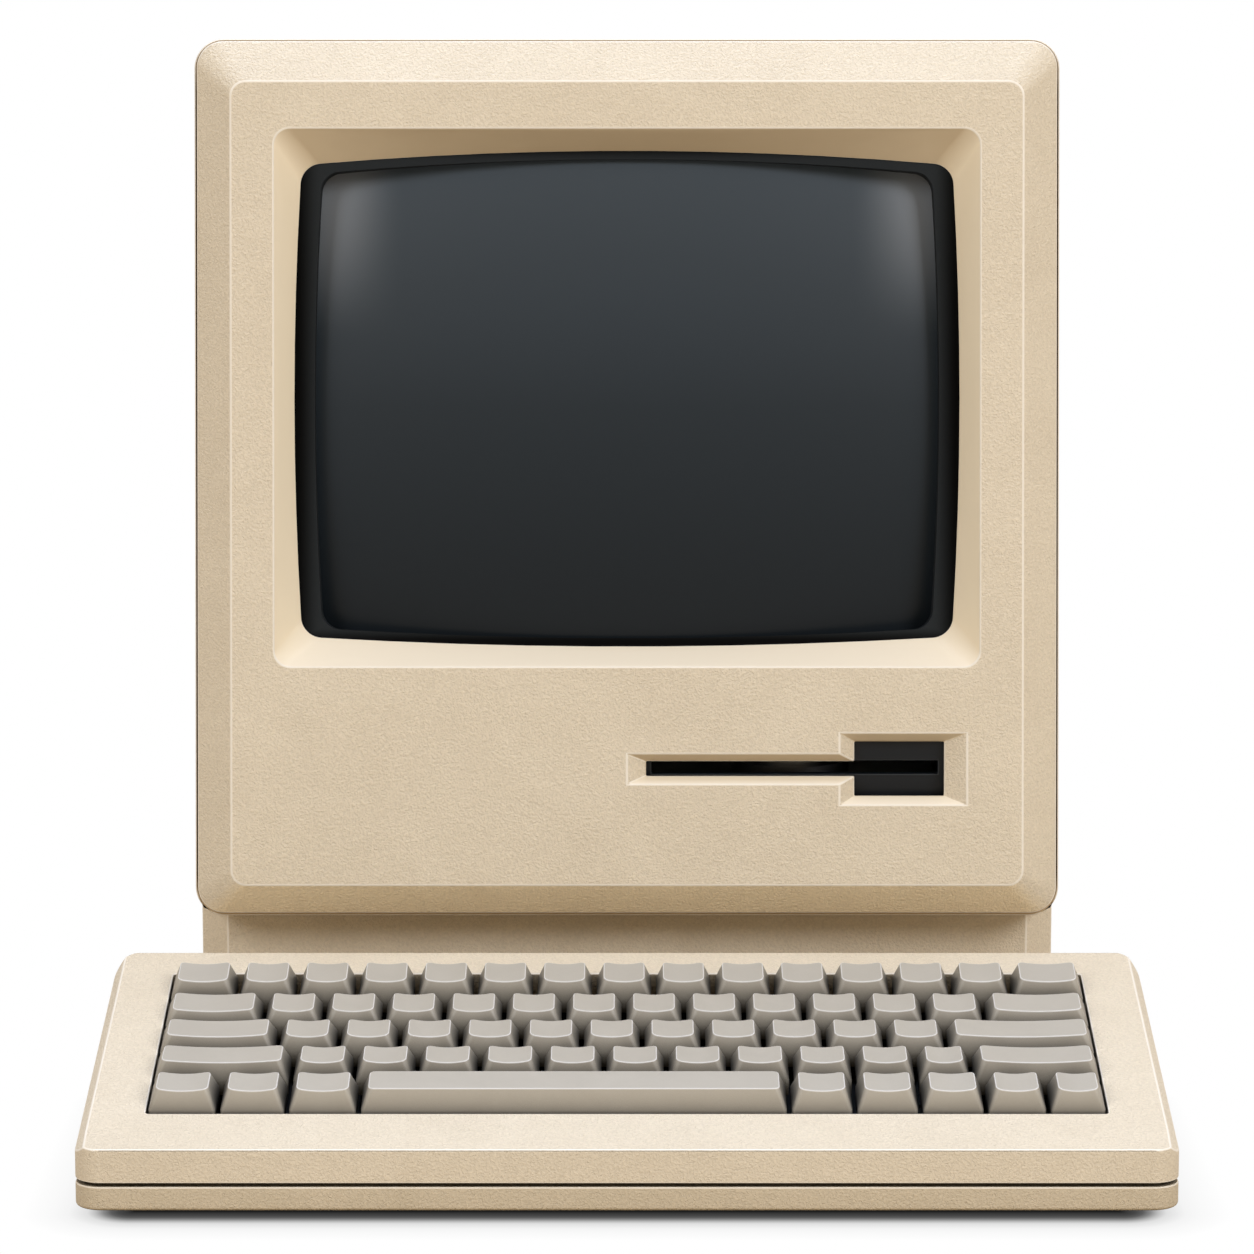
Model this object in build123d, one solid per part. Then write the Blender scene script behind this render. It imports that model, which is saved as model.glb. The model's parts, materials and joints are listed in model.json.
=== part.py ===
from build123d import *
import os
from math import atan2, cos, radians, sin, sqrt, tan

# Desktop computer with a picture tube, a disk drive and a separate keyboard.
# Millimetres and degrees. X runs to the right, Y away from the user, Z up from the desk.
# Y is counted from the keyboard's front face and centred when the pieces are written.

# Driving dimensions: fits
fit = 0.3                    # gap between pieces that slip into each other
running_gap = 0.08           # gap round a turning shaft
overcut = 5.0                # how far a cutting shape stands out of what it cuts

# Driving dimensions: keyboard case
keyboard_side = 19.615       # key well to the side of the keyboard
keyboard_back = 19.3243      # key well to the back of the keyboard
keyboard_wall = 2.8
keyboard_corner = 8.5        # upright corners at the front, seen from above
keyboard_back_corner = 16.0  # and at the back
keyboard_foot = 1.6          # height of the rubber pads
front_edge_height = 20.4     # top of the front wall above the desk
front_edge_round = 0.8
seam_height = 9.6            # middle of the groove between the two case halves
seam_gap = 1.2
seam_lip = 2.0               # height of the lip inside the groove
seam_lip_wall = 1.6
deck_slope = 12.7            # slope of the top and of the keys
deck_front_band = 13.0       # flatter band along the front of the top
deck_side_band = 2.8         # chamfer along the sides of the top
deck_side_drop = 2.8         # how far that chamfer falls
deck_front_rise = 0.4        # front edge above the top's plane
crest_setback = 3.2          # the highest edge lies this far in front of the back wall
crest_round = 3.2
base_round = 1.2
well_setback = 24.0          # front wall to the front edge of the key well
well_margin = 0.9            # spare room in front of and behind the key rows
curtain_wall = 2.0           # wall that hangs round the key well

# Driving dimensions: keys
key_pitch = 19.05
key_gap = 1.6                # between two keycaps at their skirts
key_top_setback = 2.6        # skirt front to top front
key_top_inset = 4.25         # a top is this much narrower than its skirt
key_top_back = 2.35          # skirt back to top back
key_dish = 0.9
key_wall = 1.4
key_roof = 2.2
key_sink = 4.5               # skirt edge below the surface of the top case
key_travel = 3.6
key_corner = 1.2
key_top_corner = 1.8
key_inner_corner = 0.6
key_stem = 4.0
key_stem_grip = 1.8          # how deep a released stem reaches into its switch
front_heights = (6.1, 5.0, 5.6, 6.3, 6.3)   # front lip of each row above the top case
back_heights = (6.4, 4.8, 4.95, 5.3, 5.9)   # back edge of each row above the top case
row_units = 15.4                            # length of every row, in key pitches
character_counts = (13, 12, 11, 10)         # plain keys in the four upper rows
character_units = (1.0, 1.0, 1.0, 1.015)    # their width in those rows
first_units = (1.15, 1.65, 1.95, 2.25)      # width of the first key of those rows
extra_units = (0.0, 0.0, 0.0, 0.9)          # narrow key before the last one, fourth row only
bottom_left_units = (1.15, 1.1, 1.15)
bottom_right_units = (1.05, 1.05, 1.05, 1.0, 0.95)

# Driving dimensions: keyboard inside
plate_thickness = 1.5
plate_overlap = 1.0          # plate past the wall round the well
switch_body = 13.8
switch_flange = 15.4
switch_flange_thickness = 0.8
switch_tower = 9.4
switch_tower_height = 3.4
switch_depth = 7.0           # below the plate's upper face
board_thickness = 1.6
keyboard_pad = 9.0           # radius of a rubber pad
keyboard_pad_inset = 24.0
jack_width = 14.0
jack_height = 13.0
jack_depth = 16.0
jack_mouth = 8.0
jack_mouth_height = 6.8
jack_mouth_depth = 11.0
jack_floor = 2.6             # below the mouth
jack_window = 0.5            # wall opening wider than the mouth, each side
keyboard_jack_x = 60.0
small_screw_head = 3.0       # radius
small_screw_shank = 1.4      # radius
small_screw_head_height = 1.6
small_screw_grip = 7.0       # shank inside the upper half's boss
small_boss = 3.4             # radius
boss_side = 16.0             # screws from the sides of the keyboard
boss_front = 12.0            # screws from its front wall
boss_back = 8.6              # screws from its back wall

# Driving dimensions: bezel, measured up along the leaning front from its lowest edge
desk_gap = 14.9              # keyboard back to the bezel's lowest edge
bezel_lean = 8.0
bezel_lift = 58.6            # lowest edge of the front above the desk
bezel_corner = 8.7
bezel_wall = 2.8
bevel_depth = 9.0
bevel_side = 11.8
bevel_top = 14.1
bevel_bottom = 9.8
bevel_inset = 1.0            # hollow's front edge inside the bevel's front edge
plateau_corner = 5.0
bezel_land = 1.3             # straight edge behind the bevel
seam_groove = 1.2            # shadow gap between bezel and housing
groove_depth = 0.8
lip_length = 4.5             # bezel lip inside the housing
lip_wall = 2.0
screen_foot = 81.9           # lowest edge to the sunk surround
border_side = 14.2           # flat front beside the surround
border_top = 15.4            # flat front above it
surround_side = 6.2          # width of the surround's slopes, at the sides
surround_edge = 6.7          # and at the top and bottom
surround_corner = 5.3
surround_depth = 12.0
surround_wall = 2.5
window_width = 220.6
window_height = 164.2
window_side_bow = 2.5
window_top_bow = 4.8
window_bottom_bow = 3.3
window_corner = 7.0
slot_middle = 48.2           # disk slot above the bezel's lowest edge
slot_inset = 37.6            # bezel's right side to the slot
slot_width = 98.6
slot_height = 4.9
slot_bevel_side = 6.3
slot_bevel_height = 2.6
notch_width = 29.7
notch_height = 18.0
notch_bevel_side = 5.0
notch_bevel_right = 7.4
notch_bevel_height = 2.9
slot_bevel_depth = 3.5
slot_pad = 5.0               # thickness of the front round the slot
slot_pad_margin = 5.0

# Driving dimensions: housing
computer_depth = 290.0       # bezel's lowest edge to the back
housing_wall = 3.0
housing_rim = 1.0            # housing stands out round the bezel
housing_corner = 9.7
case_foot = 6.0
chin_setback = 26.0          # bezel's lowest edge to the front under it
chin_chamfer = 9.3
top_slope = 4.0
handle_width = 116.0
handle_depth = 44.0
handle_drop = 34.0
handle_setback = 46.0        # back wall to the handle pocket
vent_width = 3.0
vent_pitch = 8.0
vent_count = 14
vent_height = 58.0
vent_drop = 66.0             # top of the back to the top of the side vents
vent_setback = 26.0          # back wall to the last side vent
low_vent_count = 8
low_vent_height = 30.0
low_vent_lift = 26.0
low_vent_setback = 42.0      # chin to the first low vent
back_vent_count = 21
back_vent_height = 44.0
back_vent_drop = 72.0        # top of the back to the top of its vents

# Driving dimensions: picture tube, depths counted from the bezel's front plane
glass_apex = 9.0
glass_radius = 600.0
glass_side = 5.7             # glass reaches past the window, at the sides
glass_edge = 5.9             # and at the top and bottom
glass_corner = 15.0
glass_thickness = 8.0
glass_skirt = 48.0           # depth of the skirt's back edge
skirt_wall = 6.0
mask_side = 6.6              # black border inside the window, at the sides
mask_top = 2.6               # and at the top and bottom
mask_corner = 12.0
mask_margin = 2.0            # mask edge inside the glass edge
mask_depth = 18.0            # room for the mask behind the window
waist_width = 120.0
waist_height = 96.0
waist_corner = 40.0
waist_depth = 100.0
funnel_end = 165.0
funnel_wall = 3.0
funnel_shoulder = 6.0        # funnel's end stands out from the neck
neck_radius = 14.5
neck_wall = 2.0
neck_end = 235.0
band_front = 26.5
band_length = 15.0
band_thickness = 1.5
ear_reach = 14.0
ear_height = 18.0
ear_inset = 8.0              # glass top to the upper ears, glass bottom to the lower ones
ear_hole = 2.2               # radius
post_radius = 5.0
yoke_radius = 38.0
yoke_length = 34.0
yoke_flange = 3.0
yoke_flange_radius = 43.0
neck_board_width = 70.0
neck_board_height = 60.0
socket_radius = 17.0
socket_length = 8.0
anode_radius = 14.0
anode_height = 6.0
lead_radius = 2.0
lead_bend = 12.0
lead_rise = 20.0             # straight run out of the cap and into the flyback

# Driving dimensions: chassis and boards
pan_floor = 2.5
pan_rim = 9.0
pan_rim_wall = 2.0
sheet = 2.0                  # chassis sheet metal
leg_inset = 13.5             # outer face of a chassis leg from the housing's side
shelf_setback = 12.0         # chin to the shelf's front edge
upright_width = 18.0
logic_lift = 5.5             # logic board above the pan's floor
logic_half = 98.0            # half the logic board's width
logic_front_gap = 1.0        # pan's rim to the logic board
logic_back_gap = 6.0         # back wall to the logic board
standoff_radius = 4.0
standoff_inset = 12.0
chip_width = 16.0
chip_length = 34.0
chip_height = 3.6
chip_pitch_x = 30.0
chip_pitch_y = 48.0
chip_columns = 6
chip_rows = 3
analog_inset = 19.5          # analog board from the housing's side
analog_setback = 57.0        # chin to the analog board
analog_length = 168.0
analog_height = 160.0
flyback_size = 36.0
flyback_height = 50.0
flyback_lift = 26.0
flyback_back = 24.0          # board's back edge to the flyback
capacitor_radius = 9.0
capacitor_length = 30.0
capacitor_pitch = 27.0
capacitor_count = 3
capacitor_lift = 38.0
speaker_radius = 26.0
speaker_cone = 22.0
speaker_flange = 2.0
speaker_basket = 10.0
speaker_magnet = 13.0        # radius
speaker_magnet_length = 8.0
speaker_setback = 71.5       # chin to the speaker's middle
speaker_lift = 32.0          # pan floor to the speaker's middle

# Driving dimensions: disk drive
drive_width = 104.0
drive_length = 146.0
drive_under = 14.5           # slot's middle to the drive's underside
drive_over = 7.0             # slot's middle to the top of the side walls
drive_sheet = 2.0
drive_lid_thickness = 1.2
drive_front_gap = 0.6        # bezel's back to the drive's front
fascia_thickness = 4.0
fascia_height = 20.6
fascia_slot_width = 95.0
fascia_slot_height = 4.5
spindle_setback = 45.0       # drive's front to the spindle
hub_radius = 14.0
hub_thickness = 2.0
hub_drop = 2.8               # slot's middle to the hub's top
rotor_radius = 20.0
rotor_height = 4.5
spindle_shaft = 3.0          # radius
spindle_boss = 7.0           # radius
shaft_clear = 0.5            # shaft's end above the drive's underside
carriage_width = 22.0
carriage_reach = 28.0        # under the disk
carriage_back = 12.0         # behind the disk
carriage_post = 9.0
carriage_arm = 2.0
carriage_clear = 3.0         # slot's middle to each head arm
carriage_travel = 20.0
disk_depth = 97.0            # how far a disk goes in
guide_width = 4.0
guide_height = 5.0
ribbon_width = 34.0
ribbon_thickness = 1.0
ribbon_bend = 8.0
ribbon_reach = 34.0          # drive's back to the ribbon's upright run
ribbon_drop = 7.0            # slot's middle to the ribbon
ribbon_hole = 3.0            # room round the ribbon in the shelf

# Driving dimensions: back panel, X from the middle, Z from the desk
panel_z = 122.0              # line of the inlet, switch and dial
inlet_x = -78.0
inlet_width = 28.0
inlet_height = 20.0
inlet_wall = 2.0
inlet_flange = 4.0
inlet_flange_thickness = 2.0
inlet_depth = 26.0
inlet_mouth_depth = 19.0
pin_width = 4.0
pin_thickness = 2.0
pin_length = 13.0
pin_pitch = 7.0
switch_x = -40.0
rocker_width = 11.0
rocker_height = 17.0
rocker_front = 4.5           # pivot to the rocker's face at its middle
rocker_lift = 1.4            # how much further out its ends are
rocker_back = 5.0
rocker_waist = 2.0           # back is this much shorter at each end
rocker_set = 7.5             # pivot in front of the back wall's outer face
rocker_tilt = 7.0            # lean at rest
rocker_clear = 1.2           # room above and below the rocker
rocker_pin = 1.5             # radius
rocker_pin_length = 1.8
frame_wall = 2.5
frame_depth = 16.0
frame_flange = 3.0
frame_flange_thickness = 2.0
dial_x = 76.0
dial_radius = 11.0
dial_length = 9.0
dial_shaft = 3.0             # radius
dial_shaft_length = 14.0
dial_cup = 17.0              # radius of the hollow round the dial
dial_cup_depth = 10.0
dial_flute = 1.2             # radius
dial_flutes = 18
serial_x = (20.0, 66.0)
serial_width = 31.0
serial_height = 12.5
serial_depth = 14.0
serial_shell_width = 17.0
serial_shell_height = 8.4
serial_shell_corner = 2.0
serial_shell_wall = 1.0
port_x = -70.0               # keyboard port under the bezel
screw_head = 4.0             # radius
screw_head_height = 3.0
screw_shank = 2.0            # radius
screw_boss = 7.0             # radius
screw_boss_length = 12.0
screw_sink = 6.0             # counterbore depth
screw_inset = 31.5           # housing's side to the screws
screw_low_lift = 24.0        # pan's floor to the lower screws
screw_drop = 66.0            # top of the back to the upper screws
screw_margin = 12.0          # metal round a screw in its tab
foot_radius = 10.0
foot_inset = 26.0

# Values worked out from the dimensions above
lean_cos = cos(radians(bezel_lean))
lean_sin = sin(radians(bezel_lean))
slope_cos = cos(radians(deck_slope))
slope_sin = sin(radians(deck_slope))
slope_tan = tan(radians(deck_slope))
row_count = len(front_heights)
well_width = row_units * key_pitch
well_depth = row_count * key_pitch + 2 * well_margin
keyboard_width = well_width + 2 * keyboard_side
keyboard_depth = well_setback + well_depth * slope_cos + keyboard_back
key_skirt_depth = key_pitch - key_gap
key_top_depth = key_skirt_depth - key_top_setback - key_top_back
surround_width = window_width + 2 * surround_side
surround_height = window_height + 2 * surround_edge
screen_middle = screen_foot + surround_height / 2
bezel_width = surround_width + 2 * (border_side + bevel_side)
bezel_height = screen_foot + surround_height + border_top + bevel_top
slot_right = bezel_width / 2 - slot_inset
slot_left = slot_right - slot_width
notch_left = slot_right - notch_width
glass_width = window_width + 2 * glass_side
glass_height = window_height + 2 * glass_edge
bezel_foot_y = keyboard_depth + desk_gap
rear_y = bezel_foot_y + computer_depth
inner_rear = rear_y - housing_wall
chin_y = bezel_foot_y + chin_setback
half_width = bezel_width / 2 + housing_rim
screw_x = half_width - screw_inset
inner_half = half_width - housing_wall
seam_depth = bevel_depth + bezel_land + seam_groove
deck_start = front_edge_height - deck_front_rise    # top's plane carried on to the front wall
plate_drop = key_sink + key_travel + switch_flange_thickness + fit
tower_top = -plate_drop + switch_flange_thickness + switch_tower_height
stem_end = tower_top - key_stem_grip
board_drop = plate_drop + switch_depth
upper_cut = seam_height + seam_gap / 2
lower_cut = seam_height - seam_gap / 2

# The leaning front: x across, y up along it, z out towards the user
front = Plane(origin=(0, bezel_foot_y, bezel_lift), x_dir=(1, 0, 0), z_dir=(0, -lean_cos, lean_sin))
# The keyboard's top: x across, y up the slope from the key well's front edge, z out of the top
deck = Plane(origin=(0, well_setback, deck_start + well_setback * slope_tan),
             x_dir=(1, 0, 0), z_dir=(0, -slope_sin, slope_cos))


# Shapes that are used again and again

def block(x0, x1, y0, y1, z0, z1):
    """A box between two corners."""
    return Pos((x0 + x1) / 2, (y0 + y1) / 2, (z0 + z1) / 2) * Box(x1 - x0, y1 - y0, z1 - z0)


def rod(radius, start, end):
    """A round bar between two points."""
    line = Vector(*end) - Vector(*start)
    along = Plane(origin=start, z_dir=line)
    return along * Cylinder(radius, line.length, align=(Align.CENTER, Align.CENTER, Align.MIN))


def slab(width, height, corner, low, high):
    """A rounded rectangle drawn from one height to another."""
    return extrude(Pos(0, 0, low) * RectangleRounded(width, height, corner), amount=high - low)


def prism_x(outline, half):
    """A (y, z) outline drawn out along X, equally to both sides."""
    points = [(0, y, z) for y, z in outline]
    return extrude(make_face(Polyline(*points, close=True)), amount=half, dir=(1, 0, 0), both=True)


def taper(first, second):
    """A straight-sided body between two outlines."""
    return loft([first.face(), second.face()], ruled=True)


def inset(outline, distances):
    """An anticlockwise outline with each side moved inwards by its own distance."""
    sides = []
    for index, (y0, z0) in enumerate(outline):
        y1, z1 = outline[(index + 1) % len(outline)]
        length = sqrt((y1 - y0) ** 2 + (z1 - z0) ** 2)
        along = ((y1 - y0) / length, (z1 - z0) / length)
        start = (y0 - along[1] * distances[index], z0 + along[0] * distances[index])
        sides.append((start, along))
    moved = []
    for index, (start, along) in enumerate(sides):
        before, line = sides[index - 1]
        cross = line[0] * along[1] - line[1] * along[0]
        reach = ((start[0] - before[0]) * along[1] - (start[1] - before[1]) * along[0]) / cross
        moved.append((before[0] + line[0] * reach, before[1] + line[1] * reach))
    return moved


def edge_at(solid, middle):
    """The edge of a solid whose middle is at a point."""
    return min(solid.edges(), key=lambda edge: (edge.position_at(0.5) - Vector(*middle)).length)


def on_front(height, depth):
    """Desk coordinates (y, z) of a point on the leaning front or behind it."""
    y = bezel_foot_y + height * lean_sin + depth * lean_cos
    return y, bezel_lift + height * lean_cos - depth * lean_sin


def deck_z(y):
    """Height of the keyboard top's plane at a distance from the front wall."""
    return deck_start + y * slope_tan


def write(name, shape):
    """Centre a piece and write it."""
    export_step(Pos(0, -rear_y / 2, 0) * shape, "parts/" + name + ".step")


# Keyboard case

crest_y = keyboard_depth - crest_setback
crest_z = deck_z(crest_y)
keyboard_outline = [(0, 0), (keyboard_depth, 0), (keyboard_depth, crest_z - crest_setback),
                    (crest_y, crest_z), (deck_front_band, deck_z(deck_front_band)), (0, front_edge_height)]
side_boss = keyboard_width / 2 - boss_side
boss_places = [(x, y) for x in (-side_boss, 0, side_boss) for y in (boss_front, keyboard_depth - boss_back)]
jack_base = upper_cut + seam_lip + fit


def keyboard_plan(margin, low, high):
    """A block with the keyboard's rounded plan, drawn in by a margin."""
    plan = Pos(0, keyboard_depth / 2) * Rectangle(keyboard_width - 2 * margin, keyboard_depth - 2 * margin)
    plan = fillet(plan.vertices().sort_by(Axis.Y)[:2], keyboard_corner - margin)
    plan = fillet(plan.vertices().sort_by(Axis.Y)[-2:], keyboard_back_corner - margin)
    return extrude(Pos(0, 0, low) * plan, amount=high - low)


def keyboard_upper():
    """Upper half: sloping top, walls, hanging wall round the key well, screw bosses."""
    shell = prism_x(keyboard_outline, keyboard_width / 2)
    shell = fillet([edge_at(shell, (0, crest_y, crest_z)),
                    edge_at(shell, (0, keyboard_depth, crest_z - crest_setback))], crest_round)
    shell = fillet(edge_at(shell, (0, 0, front_edge_height)), front_edge_round)
    shell = shell & keyboard_plan(0, upper_cut, crest_z + overcut)
    run = keyboard_depth + 4 * overcut
    reach = deck_front_rise + overcut
    for side in (-1, 1):
        inner = side * (keyboard_width / 2 - deck_side_band * (1 + reach / deck_side_drop))
        outer = side * (keyboard_width / 2 + deck_side_band)
        band = Polyline((inner, 0, reach), (outer, 0, reach), (outer, 0, -2 * deck_side_drop), close=True)
        wedge = extrude(make_face(band), amount=run, dir=(0, 1, 0))
        shell = shell - deck * (Pos(0, -well_setback - 2 * overcut, 0) * wedge)
    hollow = prism_x(inset(keyboard_outline, [0] + [keyboard_wall] * 5), keyboard_width / 2)
    shell = shell - (hollow & keyboard_plan(keyboard_wall, 0, crest_z))
    middle = Pos(0, well_depth / 2, 0)
    curtain = slab(well_width + 2 * curtain_wall, well_depth + 2 * curtain_wall, key_corner + curtain_wall,
                   -plate_drop, -keyboard_wall / 2)
    well = slab(well_width, well_depth, key_corner, -plate_drop - overcut, overcut)
    shell = shell + deck * (middle * curtain) - deck * (middle * well)
    for x, y in boss_places:
        shell = shell + rod(small_boss, (x, y, upper_cut), (x, y, deck_z(y) - keyboard_wall))
        shell = shell - rod(small_screw_shank + fit / 2, (x, y, 0),
                            (x, y, upper_cut + small_screw_grip + fit))
    half = jack_mouth / 2 + jack_window
    base = jack_base + jack_floor - jack_window
    window = block(keyboard_jack_x - half, keyboard_jack_x + half, keyboard_depth - keyboard_wall - overcut,
                   keyboard_depth + overcut, base, base + jack_mouth_height + 2 * jack_window)
    return shell - window


def keyboard_lower():
    """Lower half: tray with a lip that reaches up inside the groove, and screw posts."""
    tray = keyboard_plan(0, keyboard_foot, lower_cut)
    tray = fillet(tray.faces().sort_by(Axis.Z)[0].edges(), base_round)
    tray = tray - keyboard_plan(keyboard_wall, keyboard_foot + keyboard_wall, lower_cut + overcut)
    lip_outer = keyboard_wall + fit
    lip_inner = lip_outer + seam_lip_wall
    shoulder = keyboard_plan(keyboard_wall / 2, lower_cut - seam_lip_wall, lower_cut)
    lip = keyboard_plan(lip_outer, lower_cut - seam_lip_wall, upper_cut + seam_lip)
    tray = tray + (shoulder + lip - keyboard_plan(lip_inner, 0, upper_cut + overcut))
    for x, y in boss_places:
        tray = tray + rod(small_boss, (x, y, keyboard_foot), (x, y, upper_cut))
        tray = tray - rod(small_screw_head + fit, (x, y, 0), (x, y, keyboard_foot + small_screw_head_height))
        tray = tray - rod(small_screw_shank + fit / 2, (x, y, 0), (x, y, upper_cut + overcut))
    return tray


def keyboard_screws():
    """Screws that hold the two halves together."""
    seat = keyboard_foot + small_screw_head_height
    screws = []
    for x, y in boss_places:
        head = rod(small_screw_head, (x, y, keyboard_foot), (x, y, seat))
        screws.append(head + rod(small_screw_shank, (x, y, seat), (x, y, upper_cut + small_screw_grip)))
    return Compound(screws)


def keyboard_pads():
    """Rubber pads under the keyboard."""
    side = keyboard_width / 2 - keyboard_pad_inset
    rows = (keyboard_pad_inset, keyboard_depth - keyboard_pad_inset)
    places = [(x, y) for x in (-side, side) for y in rows]
    return Compound([rod(keyboard_pad, (x, y, 0), (x, y, keyboard_foot)) for x, y in places])


def modular_jack(x, face_y, base_z, inward):
    """A jack whose mouth is in the plane y = face_y and whose body lies inward of it."""
    back = face_y + inward * jack_depth
    body = block(x - jack_width / 2, x + jack_width / 2, min(face_y, back), max(face_y, back),
                 base_z, base_z + jack_height)
    outside = face_y - inward * overcut
    bottom = face_y + inward * jack_mouth_depth
    mouth = block(x - jack_mouth / 2, x + jack_mouth / 2, min(outside, bottom), max(outside, bottom),
                  base_z + jack_floor, base_z + jack_floor + jack_mouth_height)
    return body - mouth


# Keys

def row_widths(row):
    """Key widths of one row, in key pitches, from left to right."""
    if row == row_count - 1:
        space = row_units - sum(bottom_left_units) - sum(bottom_right_units)
        return list(bottom_left_units) + [space] + list(bottom_right_units)
    widths = [first_units[row]] + [character_units[row]] * character_counts[row]
    if extra_units[row]:
        widths.append(extra_units[row])
    return widths + [row_units - sum(widths)]


def key_places(row):
    """Middle (x, y) on the keyboard's top and width in pitches of each key of a row."""
    places = []
    left = -well_width / 2
    for units in row_widths(row):
        x = left + units * key_pitch / 2
        places.append((x, well_margin + (row_count - row - 0.5) * key_pitch, units))
        left += units * key_pitch
    return places


def keycap(units, row, dished):
    """A hollow keycap with its stem; z = 0 is the surface of the top case."""
    width = units * key_pitch - key_gap
    top_width = width - key_top_inset
    low, high = front_heights[row], back_heights[row]
    lean = atan2(high - low, key_top_depth)
    top_y = -key_skirt_depth / 2 + key_top_setback + key_top_depth / 2
    crown = Plane(origin=(0, top_y, (low + high) / 2), x_dir=(1, 0, 0), z_dir=(0, -sin(lean), cos(lean)))
    skirt = RectangleRounded(width, key_skirt_depth, key_corner)
    cap = extrude(skirt, amount=-key_sink)
    cap = cap + taper(skirt, crown * RectangleRounded(top_width, key_top_depth, key_top_corner))
    if dished:
        radius = (top_width ** 2 / 4 + key_dish ** 2) / (2 * key_dish)
        dish = Rot(90, 0, 0) * Cylinder(radius, 2 * key_skirt_depth)
        cap = cap - crown * (Pos(0, 0, radius - key_dish) * dish)
    mouth = RectangleRounded(width - 2 * key_wall, key_skirt_depth - 2 * key_wall, key_inner_corner)
    ceiling = RectangleRounded(top_width - 2 * key_wall, key_top_depth - 2 * key_wall, key_inner_corner)
    cap = cap - extrude(mouth, amount=-key_sink)
    cap = cap - taper(mouth, crown * (Pos(0, 0, -key_roof) * ceiling))
    stem = block(-key_stem / 2, key_stem / 2, -key_stem / 2, key_stem / 2,
                 stem_end, min(low, high) - key_roof + key_wall / 2)
    return cap + stem


def key_switch():
    """A switch in the plate, with the well that guides a key's stem."""
    def square(side, low, high):
        return block(-side / 2, side / 2, -side / 2, side / 2, low, high)
    flange_top = -plate_drop + switch_flange_thickness
    body = square(switch_body, -board_drop, -plate_drop)
    body = body + square(switch_flange, -plate_drop, flange_top) + square(switch_tower, flange_top, tower_top)
    return body - square(key_stem + 2 * fit, stem_end - key_travel - 2 * fit, tower_top + overcut)


def write_keys():
    """Wide keys one by one, the plain keys of a row as one set of separate caps."""
    rows = ("number_row_keys", "upper_letter_keys", "home_letter_keys", "lower_letter_keys")
    ends = (("escape_key", "delete_key"), ("tab_key", "backslash_key"),
            ("caps_lock_key", "return_key"), ("left_shift_key", "right_shift_key"))
    bottom = ("control_key", "alternate_key", "function_key", "space_bar", "enter_key",
              "left_arrow_key", "right_arrow_key", "down_arrow_key", "up_arrow_key")
    for row in range(row_count):
        caps = []
        made = {}
        names = bottom if row == row_count - 1 else None
        for index, (x, y, units) in enumerate(key_places(row)):
            dished = not (names and names[index] == "space_bar")
            if units not in made:
                made[units] = keycap(units, row, dished)
            caps.append(deck * (Pos(x, y, 0) * made[units]))
        if names:
            for name, cap in zip(names, caps):
                write(name, cap)
        else:
            write(ends[row][0], caps[0])
            write(rows[row], Compound([cap.solid() for cap in caps[1:-1]]))
            write(ends[row][1], caps[-1])


def write_keyboard():
    """Everything in the keyboard but its keys."""
    places = [place for row in range(row_count) for place in key_places(row)]
    switch = key_switch()
    switches = [deck * (Pos(x, y, 0) * switch) for x, y, units in places]
    margin = curtain_wall + plate_overlap
    sheet_size = (well_width + 2 * margin, well_depth + 2 * margin)
    middle = Pos(0, well_depth / 2, 0)
    plate = middle * slab(*sheet_size, key_corner, -plate_drop - plate_thickness, -plate_drop)
    hole = switch_body / 2 + fit / 2
    holes = [block(x - hole, x + hole, y - hole, y + hole, -plate_drop - overcut, -plate_drop + overcut)
             for x, y, units in places]
    board = middle * slab(*sheet_size, key_corner, -board_drop - board_thickness, -board_drop)
    write("keyboard_top_case", keyboard_upper())
    write("keyboard_base", keyboard_lower())
    write("key_plate", deck * (plate - holes))
    write("key_switches", Compound([solid.solid() for solid in switches]))
    write("keyboard_circuit_board", deck * board)
    write("keyboard_jack", modular_jack(keyboard_jack_x, keyboard_depth - keyboard_wall, jack_base, -1))
    write("keyboard_screws", keyboard_screws())
    write("keyboard_feet", keyboard_pads())


# Bezel and housing

def panel(width, height, corner, middle, depth):
    """A rounded rectangle on the leaning front, at a height and a depth."""
    return Pos(0, middle, -depth) * RectangleRounded(width, height, corner)


def front_slab(width, height, corner, middle, near, far):
    """A rounded block behind the leaning front, between two depths."""
    return Pos(0, middle, 0) * slab(width, height, corner, -far, -near)


def barrel(grow, depth):
    """The window's outline with bowed sides, made wider by a margin all round."""
    half = window_width / 2 + grow
    top = window_height / 2 + grow
    corner_x = half - window_side_bow
    top_y, bottom_y = top - window_top_bow, window_bottom_bow - top
    outline = (ThreePointArc((corner_x, bottom_y), (half, 0), (corner_x, top_y))
               + ThreePointArc((corner_x, top_y), (0, top), (-corner_x, top_y))
               + ThreePointArc((-corner_x, top_y), (-half, 0), (-corner_x, bottom_y))
               + ThreePointArc((-corner_x, bottom_y), (0, -top), (corner_x, bottom_y)))
    face = make_face(outline)
    return Pos(0, screen_middle, -depth) * fillet(face.vertices(), window_corner)


def slot_cut(left, right, height, bevel_left, bevel_right, bevel_height):
    """A sunk opening with sloping edges through the leaning front."""
    outer_left, outer_right = left - bevel_left, right + bevel_right
    outer = Pos((outer_left + outer_right) / 2, slot_middle, 0)
    inner = Pos((left + right) / 2, slot_middle, -slot_bevel_depth)
    slopes = taper(outer * Rectangle(outer_right - outer_left, height + 2 * bevel_height),
                   inner * Rectangle(right - left, height))
    through = block(left, right, slot_middle - height / 2, slot_middle + height / 2,
                    -slot_pad - overcut, -slot_bevel_depth)
    return slopes + through


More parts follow.
